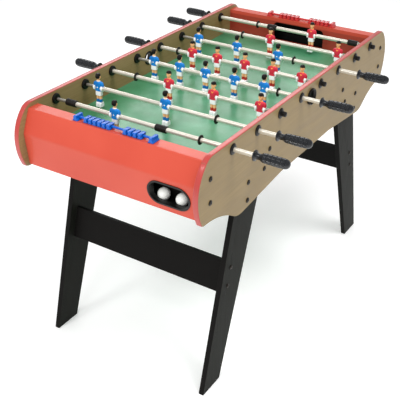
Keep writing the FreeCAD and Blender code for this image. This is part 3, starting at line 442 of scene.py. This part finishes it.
def player_mesh(name, shirt, socks, collar):
    """One moulded player about its rod, facing +Y."""
    shape = bmesh.new()
    # shirt, flaring a little at its hem
    tower(shape, [(21.4, 3.6, 3.4, 0.1), (20.6, 6.6, 4.6, 0.1), (19.0, 10.2, 5.6, 0.0, 2.2),
                  (15.5, 12.4, 6.7, 0.0, 2.4), (10.0, 12.6, 7.3, 0.2, 2.6),
                  (3.0, 11.5, 7.5, 0.3, 2.6), (-4.0, 11.0, 7.2, 0.2, 2.6),
                  (-8.2, 11.6, 7.9, 0.2, 2.6), (-9.0, 11.2, 7.5, 0.2, 2.6)], SHIRT)
    # shorts
    tower(shape, [(-7.5, 10.6, 7.0, 0.2, 2.6), (-13.0, 10.9, 7.4, 0.2, 2.8),
                  (-19.5, 11.0, 7.4, 0.1, 3.0), (-22.7, 10.8, 7.2, 0.0, 3.0),
                  (-23.4, 10.2, 6.6, 0.0, 3.0)], WHITE)
    # legs, socks with a turned cuff, and the shoe block
    for side in (-1, 1):
        leg = side * 4.8
        tower(shape, [(-21.5, 4.9, 5.6, 0.0, 2.2, leg), (-27.0, 4.6, 5.2, 0.1, 2.2, leg),
                      (-31.5, 4.5, 5.3, 0.3, 2.2, leg), (-37.0, 4.2, 4.7, 0.0, 2.2, leg)], SKIN)
        tower(shape, [(-34.7, 4.8, 5.3, 0.0, 2.2, leg), (-35.5, 5.1, 5.6, 0.0, 2.2, leg),
                      (-37.0, 4.8, 5.3, -0.1, 2.2, leg), (-41.0, 4.7, 5.4, -0.2, 2.2, leg),
                      (-47.5, 4.3, 4.8, 0.0, 2.2, leg)], SOCKS)
        shoe = side * 4.9
        tower(shape, [(-44.8, 4.4, 5.6, 0.2, 2.8, shoe), (-46.4, 5.0, 7.6, 0.4, 3.2, shoe),
                      (-49.5, 5.1, 9.0, 0.5, 4.0, shoe), (-58.2, 5.1, 9.4, 0.5, 4.5, shoe),
                      (-59.4, 4.8, 8.9, 0.5, 4.5, shoe)], WHITE)
    # sleeves and the white hands that grip the rod
    for side in (-1, 1):
        tower(shape, [(19.2, 2.2, 3.4, 0.0, 2.2, side * 9.4), (16.8, 3.9, 4.8, 0.0, 2.2, side * 11.4),
                      (11.5, 4.2, 5.5, 0.2, 2.3, side * 13.1), (6.0, 3.8, 5.6, 0.4, 2.3, side * 13.6),
                      (4.4, 3.5, 5.3, 0.5, 2.3, side * 13.5), (3.6, 2.8, 4.5, 0.5, 2.3, side * 13.4)],
              SHIRT)
        profile = [(10.4, 6.6), (10.6, 8.0), (11.5, 8.8), (14.8, 8.9), (15.9, 8.3), (16.3, 7.2),
                   (16.3, 6.3)]
        turn_about_x(shape, [(side * x, r) for x, r in profile], WHITE, 36)
        tower(shape, [(5.0, 2.4, 4.2, 1.2, 2.2, side * 13.3), (0.0, 2.8, 4.9, 2.4, 2.3, side * 13.4),
                      (-5.5, 2.7, 5.2, 3.2, 2.4, side * 13.4), (-9.6, 2.3, 4.4, 2.6, 2.4, side * 13.3),
                      (-10.8, 1.6, 3.2, 2.4, 2.4, side * 13.3)], WHITE)
    # collar band, standing round the neck and running down to a point on the chest
    half_wide, half_deep, level, thick = 5.0, 4.3, 21.6, 1.7
    point_reach, point_drop = 2.9, 8.6
    around, across = 36, 10
    rings = []
    for k in range(across):
        roll = 2 * math.pi * k / across
        ring = []
        for step in range(around):
            turn = 2 * math.pi * step / around
            throat = max(math.sin(turn), 0.0) ** 3
            reach = 1.0 + 0.3 * math.cos(roll)
            ring.append(Vector((
                half_wide * reach * math.cos(turn),
                0.1 + (half_deep * reach + point_reach * throat) * math.sin(turn),
                level + thick * math.sin(roll) - point_drop * throat)) * MM)
        rings.append(ring)
    skin_rings(shape, rings + rings[:1], COLLAR, closed=False)
    # plain roundel on the back, where a number would be
    ellipsoid(shape, (0.0, -6.9, 3.0), (2.2, 0.55, 2.4), WHITE, 20)
    # neck and head
    tower(shape, [(17.5, 3.6, 3.6, 0.0), (24.0, 3.5, 3.7, -0.2), (30.0, 3.7, 3.9, -0.3)], SKIN)
    tower(shape, [(25.4, 2.4, 2.6, 2.7), (26.0, 3.8, 3.9, 2.3), (28.0, 5.4, 5.6, 1.3),
                  (31.0, 6.5, 6.9, 0.6), (35.0, 7.1, 7.4, 0.3), (39.0, 6.9, 7.2, 0.1),
                  (43.0, 4.9, 5.3, 0.0), (45.0, 1.6, 1.8, 0.0)], SKIN)
    tower(shape, [(35.8, 0.7, 0.7, 7.1), (34.6, 0.9, 1.0, 7.4), (32.9, 1.1, 1.3, 7.8),
                  (32.2, 0.8, 0.9, 7.4)], SKIN, 3)
    for side in (-1, 1):
        ellipsoid(shape, (side * 7.2, 0.2, 33.4), (0.8, 1.5, 2.1), SKIN, 12)
        ellipsoid(shape, (side * 2.6, 7.05, 35.3), (0.8, 0.55, 0.5), HAIR, 10)
        ellipsoid(shape, (side * 2.6, 7.05, 37.0), (1.4, 0.5, 0.3), HAIR, 10)
    ellipsoid(shape, (0.0, 6.75, 29.9), (1.7, 0.5, 0.34), SHIRT, 10)
    # hair: a cap over the crown and a mass down the back of the head
    ellipsoid(shape, (0.0, -0.3, 39.6), (7.8, 8.2, 6.2), HAIR, 28)
    ellipsoid(shape, (0.0, -2.7, 36.2), (7.5, 6.5, 8.2), HAIR, 28)
    return finish_mesh(name, shape, [Palette.skin, Palette.hair, shirt, collar, Palette.white, socks],
                       50)


def sleeve_mesh():
    """Spacer sleeve of a keeper's rod: ribbed rubber with rounded rims."""
    end, radius, groove = SLEEVE_LENGTH / 2, 10.0, 9.4
    profile = [(-end, TUBE_RADIUS), (-end, radius - 1), (1 - end, radius)]
    for rib in range(5):
        start = 3.5 - end + rib * 5.6
        profile += [(start, radius), (start + 0.5, groove), (start + 1.1, groove),
                    (start + 1.6, radius)]
    profile += [(end - 1, radius), (end, radius - 1), (end, TUBE_RADIUS)]
    shape = bmesh.new()
    turn_about_x(shape, profile)
    return finish_mesh("sleeve", shape, [Palette.rubber])


def make_players():
    """Players facing the other team's goal, and the keepers' sleeves."""
    blue = player_mesh("blue_player", Palette.blue_shirt, Palette.blue_socks, Palette.pale_collar)
    red = player_mesh("red_player", Palette.red_shirt, Palette.red_socks, Palette.amber_collar)
    sleeve = sleeve_mesh()
    for rod in RODS:
        node = f"men_{rod}"
        mesh = blue if rod in BLUE_RODS else red
        axis = middle(corners_of(f"rod_tube_{rod}"))
        count = 0
        for pair in solids(node):
            height = pair[1][2] - pair[0][2]
            place = Vector((middle(pair).x, axis.y, axis.z))
            if height > SHORTEST_PLAYER * MM:
                count += 1
                piece(f"player_{rod}_{count}", mesh, f"rod_{rod}", (node,),
                      at(place, turned=rod not in BLUE_RODS))
            else:
                side = "left" if place.x < middle(corners_of(node)).x else "right"
                piece(f"sleeve_{rod}_{side}", sleeve, f"rod_{rod}", (node,),
                      at(place))


def corners_of(node):
    """A CAD node's lowest and highest corners, for arithmetic."""
    low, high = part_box(node)
    return numpy.array(low), numpy.array(high)


# ---------------------------------------------------------------- rods and their fittings
def handle_outline(along):
    """Radius of the plain handle, in millimetres, at a distance from its collar's face."""
    points = [(0.0, 12.8), (0.5, 14.2), (1.6, 15.0), (3.2, 14.9), (4.4, 14.0),
              (5.0, 12.2), (5.4, 10.4), (6.6, 9.2), (9.0, 8.6), (16.0, 8.5), (19.5, 9.0),
              (22.0, 10.6), (25.0, 12.1), (31.0, 12.8), (44.0, 13.3), (58.0, 13.6), (70.0, 13.7),
              (82.0, 13.4), (88.0, 12.8), (92.0, 11.7), (95.2, 9.8), (97.6, 7.0), (98.9, 4.0),
              (HANDLE_LENGTH, 0.6)]
    for (start, radius), (end, next_radius) in zip(points, points[1:]):
        if start <= along <= end:
            return radius + (next_radius - radius) * (along - start) / (end - start)
    return points[-1][1]


def ease(value):
    """A smooth rise from 0 to 1."""
    value = min(max(value, 0.0), 1.0)
    return value * value * (3 - 2 * value)


def handle_mesh():
    """Handle with rings and lengthwise grooves that leave raised pads, as a fine mesh."""
    first, last = 25.0, 89.5
    rows, pads, depth = 5, 10, 1.25
    ring_ramp, groove_ramp = 0.13, 0.16
    segments = pads * 12
    stations = [0.0, 0.25, 0.5, 1.0, 1.6, 2.4, 3.2, 3.8, 4.4, 4.8, 5.0, 5.2, 5.4, 6.0, 6.6, 7.6,
                9.0, 12.0, 16.0, 18.0, 19.5, 22.0, 24.0]
    steps = 110
    stations += [first + (last - first) * k / steps for k in range(steps + 1)]
    stations += [90.5, 92.0, 93.2, 94.3, 95.2, 96.2, 97.0, 97.6, 98.3, 98.9, 99.3, HANDLE_LENGTH]
    rings = []
    for along in stations:
        plain = handle_outline(along)
        ring = []
        for k in range(segments):
            turn = 2 * math.pi * k / segments
            radius = plain
            if first < along < last:
                row = ((along - first) / (last - first) * rows) % 1.0
                pad = (k / segments * pads) % 1.0
                raised = (ease(min(row, 1 - row) / ring_ramp)
                          * ease(min(pad, 1 - pad) / groove_ramp))
                radius -= depth * (1 - raised)
            ring.append(Vector((along, radius * math.cos(turn), radius * math.sin(turn))) * MM)
        rings.append(ring)
    shape = bmesh.new()
    bore_share = 0.5  # the collar's face runs in to half its radius, where the tube enters
    bore = [Vector((0.0, bore_share * point.y, bore_share * point.z)) for point in rings[0]]
    skin_rings(shape, [bore] + rings, closed=False)
    tip = shape.verts.new(Vector((HANDLE_LENGTH, 0, 0)) * MM)
    shape.verts.ensure_lookup_table()
    end = [v for v in shape.verts if v is not tip][-segments:]
    for k in range(segments):
        shape.faces.new((end[k], end[(k + 1) % segments], tip))
    return finish_mesh("handle", shape, [Palette.grip], 40)


def bearing_mesh(name, bore):
    """Flanged bush and inside ring of one bearing; +X is outwards, 0 is the panel's inner face."""
    shape = bmesh.new()
    inside, panel = -BEARING_INSIDE, PANEL_THICKNESS
    face = panel + BEARING_OUTSIDE
    turn_about_x(shape, [
        (inside, bore), (inside, 9.0), (-6.2, 10.9), (-6.0, 11.0), (panel, 11.0), (panel, 15.0),
        (panel + 0.4, 15.5), (panel + 1.4, 15.4), (face - 2.4, 14.6), (face - 1.6, 13.2),
        (face - 1.2, 11.0), (face - 1.0, 10.2), (face - 0.1, 9.7), (face, 9.2), (face, 8.0),
    ])
    turn_about_x(shape, [(face, 8.0), (face - 0.4, 7.6), (face - 0.4, bore + 0.4),
                         (face - 0.8, bore), (inside, bore)], 1)
    turn_about_x(shape, [
        (inside, 11.0), (inside, 13.0), (-6.0, 14.0), (-4.4, 15.4), (-3.0, 16.0), (-0.6, 16.0),
        (0.0, 15.5), (0.0, 11.0),
    ])
    return finish_mesh(name, shape, [Palette.black, Palette.grip])


def disc_mesh():
    """Loose rubber disc with a rounded tread and a raised boss."""
    shape = bmesh.new()
    turn_about_x(shape, [
        (-2.0, TUBE_BORE), (-2.0, 8.6), (-1.5, 9.2), (-1.5, 12.2), (-1.1, 13.1), (-0.4, 13.5),
        (0.4, 13.5), (1.1, 13.1), (1.5, 12.2), (1.5, 9.2), (2.0, 8.6), (2.0, TUBE_BORE),
        (-2.0, TUBE_BORE),
    ])
    return finish_mesh("disc", shape, [Palette.rubber])


def make_rods():
    """Handles, discs, bearings, tubes and guide rods."""
    handle = handle_mesh()
    disc = disc_mesh()
    wide = bearing_mesh("tube_bearing", TUBE_BORE)
    narrow = bearing_mesh("guide_bearing", GUIDE_BORE)
    panel_inner = corners_of("right_side_panel")[0][0]
    for rod in RODS:
        axis = middle(corners_of(f"rod_tube_{rod}"))
        low, high = corners_of(f"handle_{rod}")
        left = low[0] < 0
        collar = high[0] if left else low[0]
        piece(f"grip_{rod}", handle, f"rod_{rod}", (f"handle_{rod}",),
              at(Vector((collar, axis.y, axis.z)), left))
        bumper = middle(corners_of(f"bumper_{rod}"))
        piece(f"disc_{rod}", disc, f"bumper_{rod}", (f"bumper_{rod}",),
              at(bumper))
        for side, name in SIDES:
            mesh = wide if (side < 0) == left else narrow
            place = Vector((side * panel_inner, axis.y, axis.z))
            piece(f"bearing_{rod}_{name}", mesh, "cabinet",
                  ("rod_bearings",), at(place, side < 0))
        make_guide_rod(rod, left, axis)
        make_tube(rod, left, axis)


def make_tube(rod, left, axis):
    """Chromed tube from its open tail to the end that is pressed into the handle."""
    node = f"rod_tube_{rod}"
    low, high = corners_of(node)
    tail = (-high[0] if left else low[0]) / MM
    tip = (-low[0] if left else high[0]) / MM
    shape = bmesh.new()
    turn_about_x(shape, [
        (tail + 12, 4.85), (tail + 0.4, 4.85), (tail, 5.2), (tail, 5.95),
        (tail + 0.4, TUBE_RADIUS), (tail + 60, TUBE_RADIUS), (0.0, TUBE_RADIUS),
        (tip - 0.4, TUBE_RADIUS), (tip, 5.9), (tip, 0.3),
    ], 0, 64)
    piece(f"tube_{rod}", finish_mesh(f"tube_{rod}", shape, [Palette.chrome]), f"rod_{rod}",
          (node,), at(Vector((0, axis.y, axis.z)), left))


def make_guide_rod(rod, left, axis):
    """Inner rod, the cap on its outer end and its stop ring, in the handle's direction."""
    node = f"guide_rod_{rod}"
    low, high = corners_of(node)
    outer = -(high[0] if left else -low[0]) / MM
    inner = (-low[0] if left else high[0]) / MM
    place = at(Vector((0, axis.y, axis.z)), left)
    shape = bmesh.new()
    turn_about_x(shape, [(outer + 2, GUIDE_RADIUS), (inner - 1, GUIDE_RADIUS), (inner, 3.9)],
                 0, 40, closed=True)
    piece(f"inner_rod_{rod}", finish_mesh(f"inner_rod_{rod}", shape, [Palette.steel]),
          f"guide_{rod}", (node,), place)
    shape = bmesh.new()
    turn_about_x(shape, [
        (outer, 0.4), (outer + 0.1, 3.4), (outer + 0.7, 5.6), (outer + 1.8, 6.9),
        (outer + 3.2, 7.4), (outer + 9.6, 7.5), (outer + 9.9, 6.9), (outer + 10.5, 6.9),
        (outer + 10.8, 7.5), (outer + END_CAP_LENGTH - 0.4, 7.5), (outer + END_CAP_LENGTH, 7.1),
        (outer + END_CAP_LENGTH, GUIDE_RADIUS), (outer + 2.0, GUIDE_RADIUS),
    ], 0, 48, closed=True)
    piece(f"end_cap_{rod}", finish_mesh(f"end_cap_{rod}", shape, [Palette.black]),
          f"guide_{rod}", (), place)
    shape = bmesh.new()
    bearing = BEARING_OUTSIDE + PANEL_THICKNESS + BEARING_INSIDE
    start = outer + END_CAP_LENGTH + END_PLAY + bearing + END_PLAY
    end = start + STOP_RING_WIDTH
    turn_about_x(shape, [(start, GUIDE_RADIUS), (start, 6.1), (start + 0.4, 6.5), (end - 0.4, 6.5),
                         (end, 6.1), (end, GUIDE_RADIUS), (start, GUIDE_RADIUS)], 0, 40)
    piece(f"stop_ring_{rod}", finish_mesh(f"stop_ring_{rod}", shape, [Palette.dark_steel]),
          f"guide_{rod}", (), place)


# ---------------------------------------------------------------- scorers
def bead_mesh(name, material, extent):
    """Hourglass score bead, flared at its head and foot, with softened edges."""
    half, top = extent.x / 2, extent.z / 2
    waist, foot = half - 2.5, -top
    outline = [(-half, foot), (half, foot), (half, foot * 0.6), (waist, -0.8), (waist, 1.0),
               (half - 0.9, top * 0.74), (half - 0.5, top), (0.5 - half, top),
               (0.9 - half, top * 0.74), (-waist, 1.0), (-waist, -0.8), (-half, foot * 0.6)]
    return extruded(name, outline, extent.y, [material], 0.7)


def post_mesh(name, material, foot, depth, height):
    """Scorer post: a block on a flared foot."""
    half = foot / 2
    waist = half - 3.8
    outline = [(-half, 0.0), (half, 0.0), (half - 0.5, 2.4), (waist + 0.3, height * 0.45),
               (waist, height), (-waist, height), (-waist - 0.3, height * 0.45), (0.5 - half, 2.4)]
    return extruded(name, outline, depth, [material], 1.1)


def extruded(name, outline, depth, materials, rounding):
    """An (X, Z) outline in millimetres made solid along Y, with rounded edges."""
    shape = bmesh.new()
    front = [shape.verts.new(Vector((x, -depth / 2, z)) * MM) for x, z in outline]
    back = [shape.verts.new(Vector((x, depth / 2, z)) * MM) for x, z in outline]
    shape.faces.new(front)
    shape.faces.new(back[::-1])
    count = len(outline)
    for k in range(count):
        shape.faces.new((front[k], back[k], back[(k + 1) % count], front[(k + 1) % count]))
    bmesh.ops.recalc_face_normals(shape, faces=shape.faces)
    edges = [e for e in shape.edges if e.calc_face_angle(0) > math.radians(12)]
    bmesh.ops.bevel(shape, geom=edges, offset=rounding * MM, segments=3, profile=0.5,
                    affect="EDGES", clamp_overlap=True)
    return finish_mesh(name, shape, materials, 50)


def make_scorers():
    """Beads, posts and bar of the score counter at each end."""
    teams = {"blue": (-1, Palette.blue), "red": (1, Palette.red)}
    rails = solids("score_rails")
    bead_low, bead_high = solids("blue_beads_left")[0]
    for team, (end, material) in teams.items():
        low, high = next(pair for pair in rails if (middle(pair).y > 0) == (end > 0))
        across = middle((low, high)).y
        bead = bead_mesh(f"{team}_bead", material, Vector(bead_high - bead_low) / MM)
        depth, height = (high[1] - low[1]) / MM, (high[2] - low[2]) / MM
        post = post_mesh(f"{team}_post", material, POST_FOOT, depth, height)
        for half in ("left", "right"):
            node = f"{team}_beads_{half}"
            for number, pair in enumerate(solids(node), start=1):
                piece(f"{team}_bead_{half}_{number}", bead, node, (node,), at(middle(pair)))
        for name, x in (("left", low[0] + POST_FOOT / 2 * MM), ("right", high[0] - POST_FOOT / 2 * MM)):
            piece(f"{team}_post_{name}", post, "cabinet", ("score_rails",),
                  at(Vector((x, across, low[2]))))
        length = (high[0] - low[0]) / MM - POST_FOOT
        shape = bmesh.new()
        turn_about_x(shape, [(-length / 2, 3.4), (0, 3.45), (length / 2, 3.4)], 0, 32, closed=True)
        bar = finish_mesh(f"{team}_bar", shape, [material])
        bar_height = middle(corners_of(f"{team}_beads_left")).z
        piece(f"{team}_bar", bar, "cabinet", ("score_rails",),
              at(Vector(((low[0] + high[0]) / 2, across, bar_height))))


# ---------------------------------------------------------------- bolts
BOLT_SEGMENTS = 36
SCREW_REACH = 10.0  # a rail screw's head stands at least this far outside the legs' inner faces
NUT_WIDTH = 10.0    # a nut is wider than this, a bare shank's end is not


def hexagon(turn):
    """How near a hexagon's edge is at a turn, as a share of its corners' distance."""
    return math.cos(math.pi / 6) / math.cos((turn % (math.pi / 3)) - math.pi / 6)


def bolt_head_mesh(name, radius):
    """Button head pointing to +X with a hexagon socket, its underside at 0."""
    height = BOLT_HEAD_HEIGHT
    rim_radius, socket_radius = radius * 0.44, radius * 0.34
    shape = bmesh.new()
    profile = [(0.0, 0.0), (0.0, radius), (height * 0.28, radius), (height * 0.62, radius * 0.9),
               (height * 0.9, radius * 0.68), (height, rim_radius)]
    turn_about_x(shape, profile, 0, BOLT_SEGMENTS)
    rim, socket, floor = [], [], []
    for k in range(BOLT_SEGMENTS):
        turn = 2 * math.pi * k / BOLT_SEGMENTS
        reach = socket_radius * hexagon(turn)
        way = Vector((0, math.cos(turn), math.sin(turn)))
        rim.append((way * rim_radius + Vector((height, 0, 0))) * MM)
        socket.append((way * reach + Vector((height, 0, 0))) * MM)
        floor.append((way * reach + Vector((height * 0.35, 0, 0))) * MM)
    skin_rings(shape, [rim, socket, floor], closed=False)
    layer = [shape.verts.new(point) for point in floor]
    centre = shape.verts.new(Vector((height * 0.3, 0, 0)) * MM)
    for k in range(BOLT_SEGMENTS):
        shape.faces.new((layer[k], layer[(k + 1) % BOLT_SEGMENTS], centre))
    return finish_mesh(name, shape, [Palette.dark_steel])


def nut_mesh():
    """Hexagon nut with chamfered corners on a short stub of bolt, facing -X from 0."""
    shape = bmesh.new()
    rings = []
    corner = 6.5
    for along, reach in ((0.0, 0.94), (-0.5, 1.0), (-4.5, 1.0), (-5.0, 0.94)):
        ring = []
        for k in range(BOLT_SEGMENTS):
            turn = 2 * math.pi * k / BOLT_SEGMENTS
            radius = min(corner * hexagon(turn), corner * reach)
            ring.append(Vector((along, radius * math.cos(turn), radius * math.sin(turn))) * MM)
        rings.append(ring)
    skin_rings(shape, rings)
    turn_about_x(shape, [(-5.0, 3.0), (-5.8, 3.0), (-6.0, 2.6)], 0, 24, closed=True)
    return finish_mesh("nut", shape, [Palette.dark_steel])


def make_bolts():
    """Heads on the panels and rails, and nuts inside, each where its CAD solid is."""
    panel_head = bolt_head_mesh("panel_bolt", 7.5)
    screw_head = bolt_head_mesh("rail_screw", 6.0)
    nut = nut_mesh()
    leg_inner = corners_of("leg_rails")[1][0]
    panel_outer = corners_of("right_side_panel")[1][0]
    for number, (low, high) in enumerate(solids("bolts"), start=1):
        place = middle((low, high))
        side = 1 if place.x > 0 else -1
        wide = high[1] - low[1]
        reach = high[0] if side > 0 else -low[0]
        if reach > panel_outer:
            at_x, mesh = panel_outer, panel_head
        elif reach > leg_inner + SCREW_REACH * MM:
            at_x, mesh = reach - BOLT_HEAD_HEIGHT * MM, screw_head
        elif wide > NUT_WIDTH * MM:
            at_x, mesh = leg_inner, nut
        else:
            continue
        piece(f"bolt_{number}", mesh, "cabinet", ("bolts",),
              at(Vector((side * at_x, place.y, place.z)), side < 0))


# ---------------------------------------------------------------- cabinet
def paint(node, material):
    """Gives a carried-over CAD node its finish, smooth where the surface is smooth."""
    item = NODES[node]
    item.data.materials.clear()
    item.data.materials.append(material)
    item.data.shade_smooth()
    item.data.set_sharp_from_angle(angle=math.radians(28))


def soften(node, width, segments=3):
    """Rounds a CAD node's sharp edges by a fraction of a millimetre."""
    item = NODES[node]
    weld = item.modifiers.new("weld", "WELD")
    weld.merge_threshold = MERGE_DISTANCE
    rounding = item.modifiers.new("soft_edges", "BEVEL")
    rounding.width = width * MM
    rounding.segments = segments
    rounding.limit_method = "ANGLE"
    rounding.angle_limit = math.radians(50)
    weighted = item.modifiers.new("flat_faces_stay_flat", "WEIGHTED_NORMAL")
    weighted.keep_sharp = True


def entry_cup_mesh():
    """Funnel of a ball entry; +X is outwards, 0 is the panel's inner face."""
    panel = PANEL_THICKNESS
    shape = bmesh.new()
    turn_about_x(shape, [
        (-2.0, 18.6), (-2.0, 22.0), (-1.4, 22.9), (0.0, 23.0), (0.0, 20.5),
        (panel, 20.5), (panel, 24.2), (panel + 0.6, 24.9), (panel + 5.6, 25.0),
        (panel + 6.8, 24.6), (panel + 7.0, 23.8), (panel + 6.6, 23.0), (panel + 4.4, 21.2),
        (panel + 1.4, 18.7), (panel, 18.3), (-1.4, 18.25), (-2.0, 18.6),
    ], 0, 64)
    return finish_mesh("entry_cup", shape, [Palette.black])


def ball_mesh():
    """White ball with the faint moulding line round its middle."""
    shape = bmesh.new()
    rings = []
    steps, line = 40, 0.12
    for index in range(1, steps):
        lean = math.pi * index / steps
        seam = line * math.exp(-((index - steps / 2) / 0.7) ** 2)
        radius = BALL_RADIUS + seam - line
        rings.append(level_ring(-radius * math.cos(lean), radius * math.sin(lean),
                                radius * math.sin(lean), 0.0, 2.0, 0.0, 56))
    skin_rings(shape, rings)
    return finish_mesh("ball", shape, [Palette.ball])


BANDING_HEART = 600.0  # height of a point that the whole outline goes round


def banding_outline():
    """The banding's outer outline on the right panel as ordered (point, outward normal)."""
    shape = bmesh.new()
    shape.from_mesh(NODES["edge_trims"].data)
    bmesh.ops.remove_doubles(shape, verts=shape.verts, dist=MERGE_DISTANCE)
    side = max(vertex.co.x for vertex in shape.verts)
    heart = Vector((0, 0, BANDING_HEART * MM))
    outward = {}
    for edge in shape.edges:
        if len(edge.link_faces) != 2 or min(end.co.x for end in edge.verts) < side - 1e-5:
            continue
        side_faces = [face for face in edge.link_faces if abs(face.normal.x) > 0.9]
        skin = [face for face in edge.link_faces if abs(face.normal.x) < 0.1]
        centre = (edge.verts[0].co + edge.verts[1].co) / 2
        away = (Vector((0, centre.y, centre.z)) - heart).normalized()
        if len(side_faces) == 1 and len(skin) == 1 and skin[0].normal.dot(away) > 0.2:
            for end in edge.verts:
                outward[end] = outward.get(end, Vector()) + skin[0].normal
    outline = sorted(((end.co.copy(), total.normalized()) for end, total in outward.items()),
                     key=lambda pair: math.atan2(pair[0].y, pair[0].z - heart.z))
    shape.free()
    return outline


def banding_mesh(half_width):
    """Edge banding with a gently domed face, about the middle of the panel's thickness."""
    section = [(-1.0, -1.45), (-0.99, -1.2), (-0.94, -0.8), (-0.84, -0.45), (-0.66, -0.2),
               (-0.36, -0.06), (0.0, 0.0), (0.36, -0.06), (0.66, -0.2), (0.84, -0.45),
               (0.94, -0.8), (0.99, -1.2), (1.0, -1.45)]
    rings = []
    for point, normal in banding_outline():
        base = Vector((0, point.y, point.z))
        rings.append([base + Vector((half_width * share, 0, 0)) + normal * depth * MM
                      for share, depth in section])
    shape = bmesh.new()
    skin_rings(shape, rings)
    return finish_mesh("banding", shape, [Palette.banding], 50)


def make_banding():
    """One strip of banding on each side panel."""
    low, high = corners_of("right_side_panel")
    mesh = banding_mesh((high[0] - low[0]) / 2)
    across = (high[0] + low[0]) / 2
    for side, name in SIDES:
        piece(f"banding_{name}", mesh, "cabinet", ("edge_trims",),
              at(Vector((side * across, 0, 0)), side < 0))


def make_cabinet():
    """Finishes of the boards and mouldings, with the entry cups and the balls."""
    finishes = {
        "right_side_panel": Palette.woodgrain, "left_side_panel": Palette.woodgrain,
        "playfield": Palette.field,
        "near_end_panel": Palette.red_board, "far_end_panel": Palette.red_board,
        # the goal walls' darker red is painted shade, not a different board
        "goal_walls": Palette.shaded_red, "goal_pockets": Palette.liner,
        "ball_returns": Palette.black, "legs": Palette.charcoal, "leg_rails": Palette.charcoal,
    }
    for node, material in finishes.items():
        paint(node, material)
    for node, width in {"legs": 0.8, "leg_rails": 0.8, "near_end_panel": 0.8,
                        "far_end_panel": 0.8, "ball_returns": 0.9, "right_side_panel": 0.4,
                        "left_side_panel": 0.4}.items():
        soften(node, width)
    cup = entry_cup_mesh()
    centre = middle(corners_of("ball_entry_cups"))
    panel_inner = corners_of("right_side_panel")[0][0]
    for side, name in SIDES:
        piece(f"entry_cup_{name}", cup, "cabinet",
              ("ball_entry_cups",), at(Vector((side * panel_inner, centre.y, centre.z)), side < 0))
    ball = ball_mesh()
    for number, pair in enumerate(solids("balls"), start=1):
        lean = Matrix.Rotation(math.radians(35 + 50 * number), 4, "Y")
        piece(f"ball_{number}", ball, "balls", ("balls",),
              at(middle(pair)) @ lean)


# ---------------------------------------------------------------- stage, light and camera
CAMERA_PLACE = Vector((1.16637, -1.96200, 1.65284))
CAMERA_AZIMUTH = 32.512    # degrees, round from the near end towards the right panel
CAMERA_ELEVATION = 30.735  # degrees
CAMERA_ROLL = 0.2255       # degrees
CAMERA_LENS = 69.34        # millimetres, on a sensor 36 mm wide


def make_camera():
    """The camera at the photograph's viewing angle."""
    azimuth = math.radians(CAMERA_AZIMUTH)
    elevation = math.radians(CAMERA_ELEVATION)
    roll = math.radians(CAMERA_ROLL)
    back = Vector((math.sin(azimuth) * math.cos(elevation),
                   -math.cos(azimuth) * math.cos(elevation), math.sin(elevation)))
    right = (-back).cross(Vector((0, 0, 1))).normalized()
    up = back.cross(right)
    tilted_right = math.cos(roll) * right + math.sin(roll) * up
    tilted_up = -math.sin(roll) * right + math.cos(roll) * up
    camera = bpy.data.objects.new("camera", bpy.data.cameras.new("camera"))
    camera.data.sensor_width = 36
    camera.data.lens = CAMERA_LENS
    turn = Matrix((tilted_right, tilted_up, back)).transposed()
    camera.matrix_world = Matrix.Translation(CAMERA_PLACE) @ turn.to_4x4()
    bpy.context.scene.collection.objects.link(camera)
    bpy.context.scene.camera = camera


def area_light(name, place, target, wide, high, power, glossy=True):
    """A soft rectangular light aimed at a point; without gloss it leaves no reflection."""
    light = bpy.data.lights.new(name, "AREA")
    light.shape = "RECTANGLE"
    light.size = wide
    light.size_y = high
    light.energy = power
    item = bpy.data.objects.new(name, light)
    item.location = place
    item.visible_glossy = glossy
    item.rotation_euler = (Vector(target) - Vector(place)).to_track_quat("-Z", "Y").to_euler()
    bpy.context.scene.collection.objects.link(item)


def make_stage():
    """The pale floor, the even white surroundings and four soft lights."""
    shape = bmesh.new()
    half, level = 14.0, -0.0004  # just under the feet, so the two faces don't fight
    corners = [shape.verts.new((x, y, level)) for x, y in
               ((-half, -half), (half, -half), (half, half), (-half, half))]
    shape.faces.new(corners)
    floor_paint = new_material("floor_paint", (248, 248, 248), 0.8)
    glow = floor_paint.node_tree.nodes["Principled BSDF"].inputs
    glow["Emission Color"].default_value = (1, 1, 1, 1)
    glow["Emission Strength"].default_value = 0.22
    into(floor_paint, ramp(floor_paint, noise(floor_paint, 2), [(0.3, (246, 246, 246)),
                                                                (0.7, (249, 249, 249))]),
         "Base Color")
    floor = bpy.data.objects.new("floor", finish_mesh("floor", shape, [floor_paint]))
    bpy.context.scene.collection.objects.link(floor)
    world = bpy.data.worlds.new("studio")
    world.use_nodes = True
    world.node_tree.nodes["Background"].inputs["Color"].default_value = (1, 1, 1, 1)
    world.node_tree.nodes["Background"].inputs["Strength"].default_value = 0.5
    bpy.context.scene.world = world
    area_light("key", (0.0, -4.0, 3.0), (0, 0, 0.7), wide=3.0, high=1.8, power=122, glossy=False)
    area_light("glint", (-1.3, -2.7, 3.7), (0, 0, 0.75), wide=0.8, high=0.5, power=22)
    area_light("behind", (-2.0, 2.9, 2.9), (0, 0, 0.75), wide=2.8, high=1.3, power=42)
    area_light("high_right", (1.5, -0.2, 3.3), (-0.3, 0, 0.75), wide=1.4, high=1.2, power=58,
               glossy=False)
    view = bpy.context.scene.view_settings
    view.view_transform = "Standard"
    view.exposure = 0.0


make_stage()
make_camera()
make_cabinet()
make_banding()
make_bolts()
make_scorers()
make_rods()
make_players()
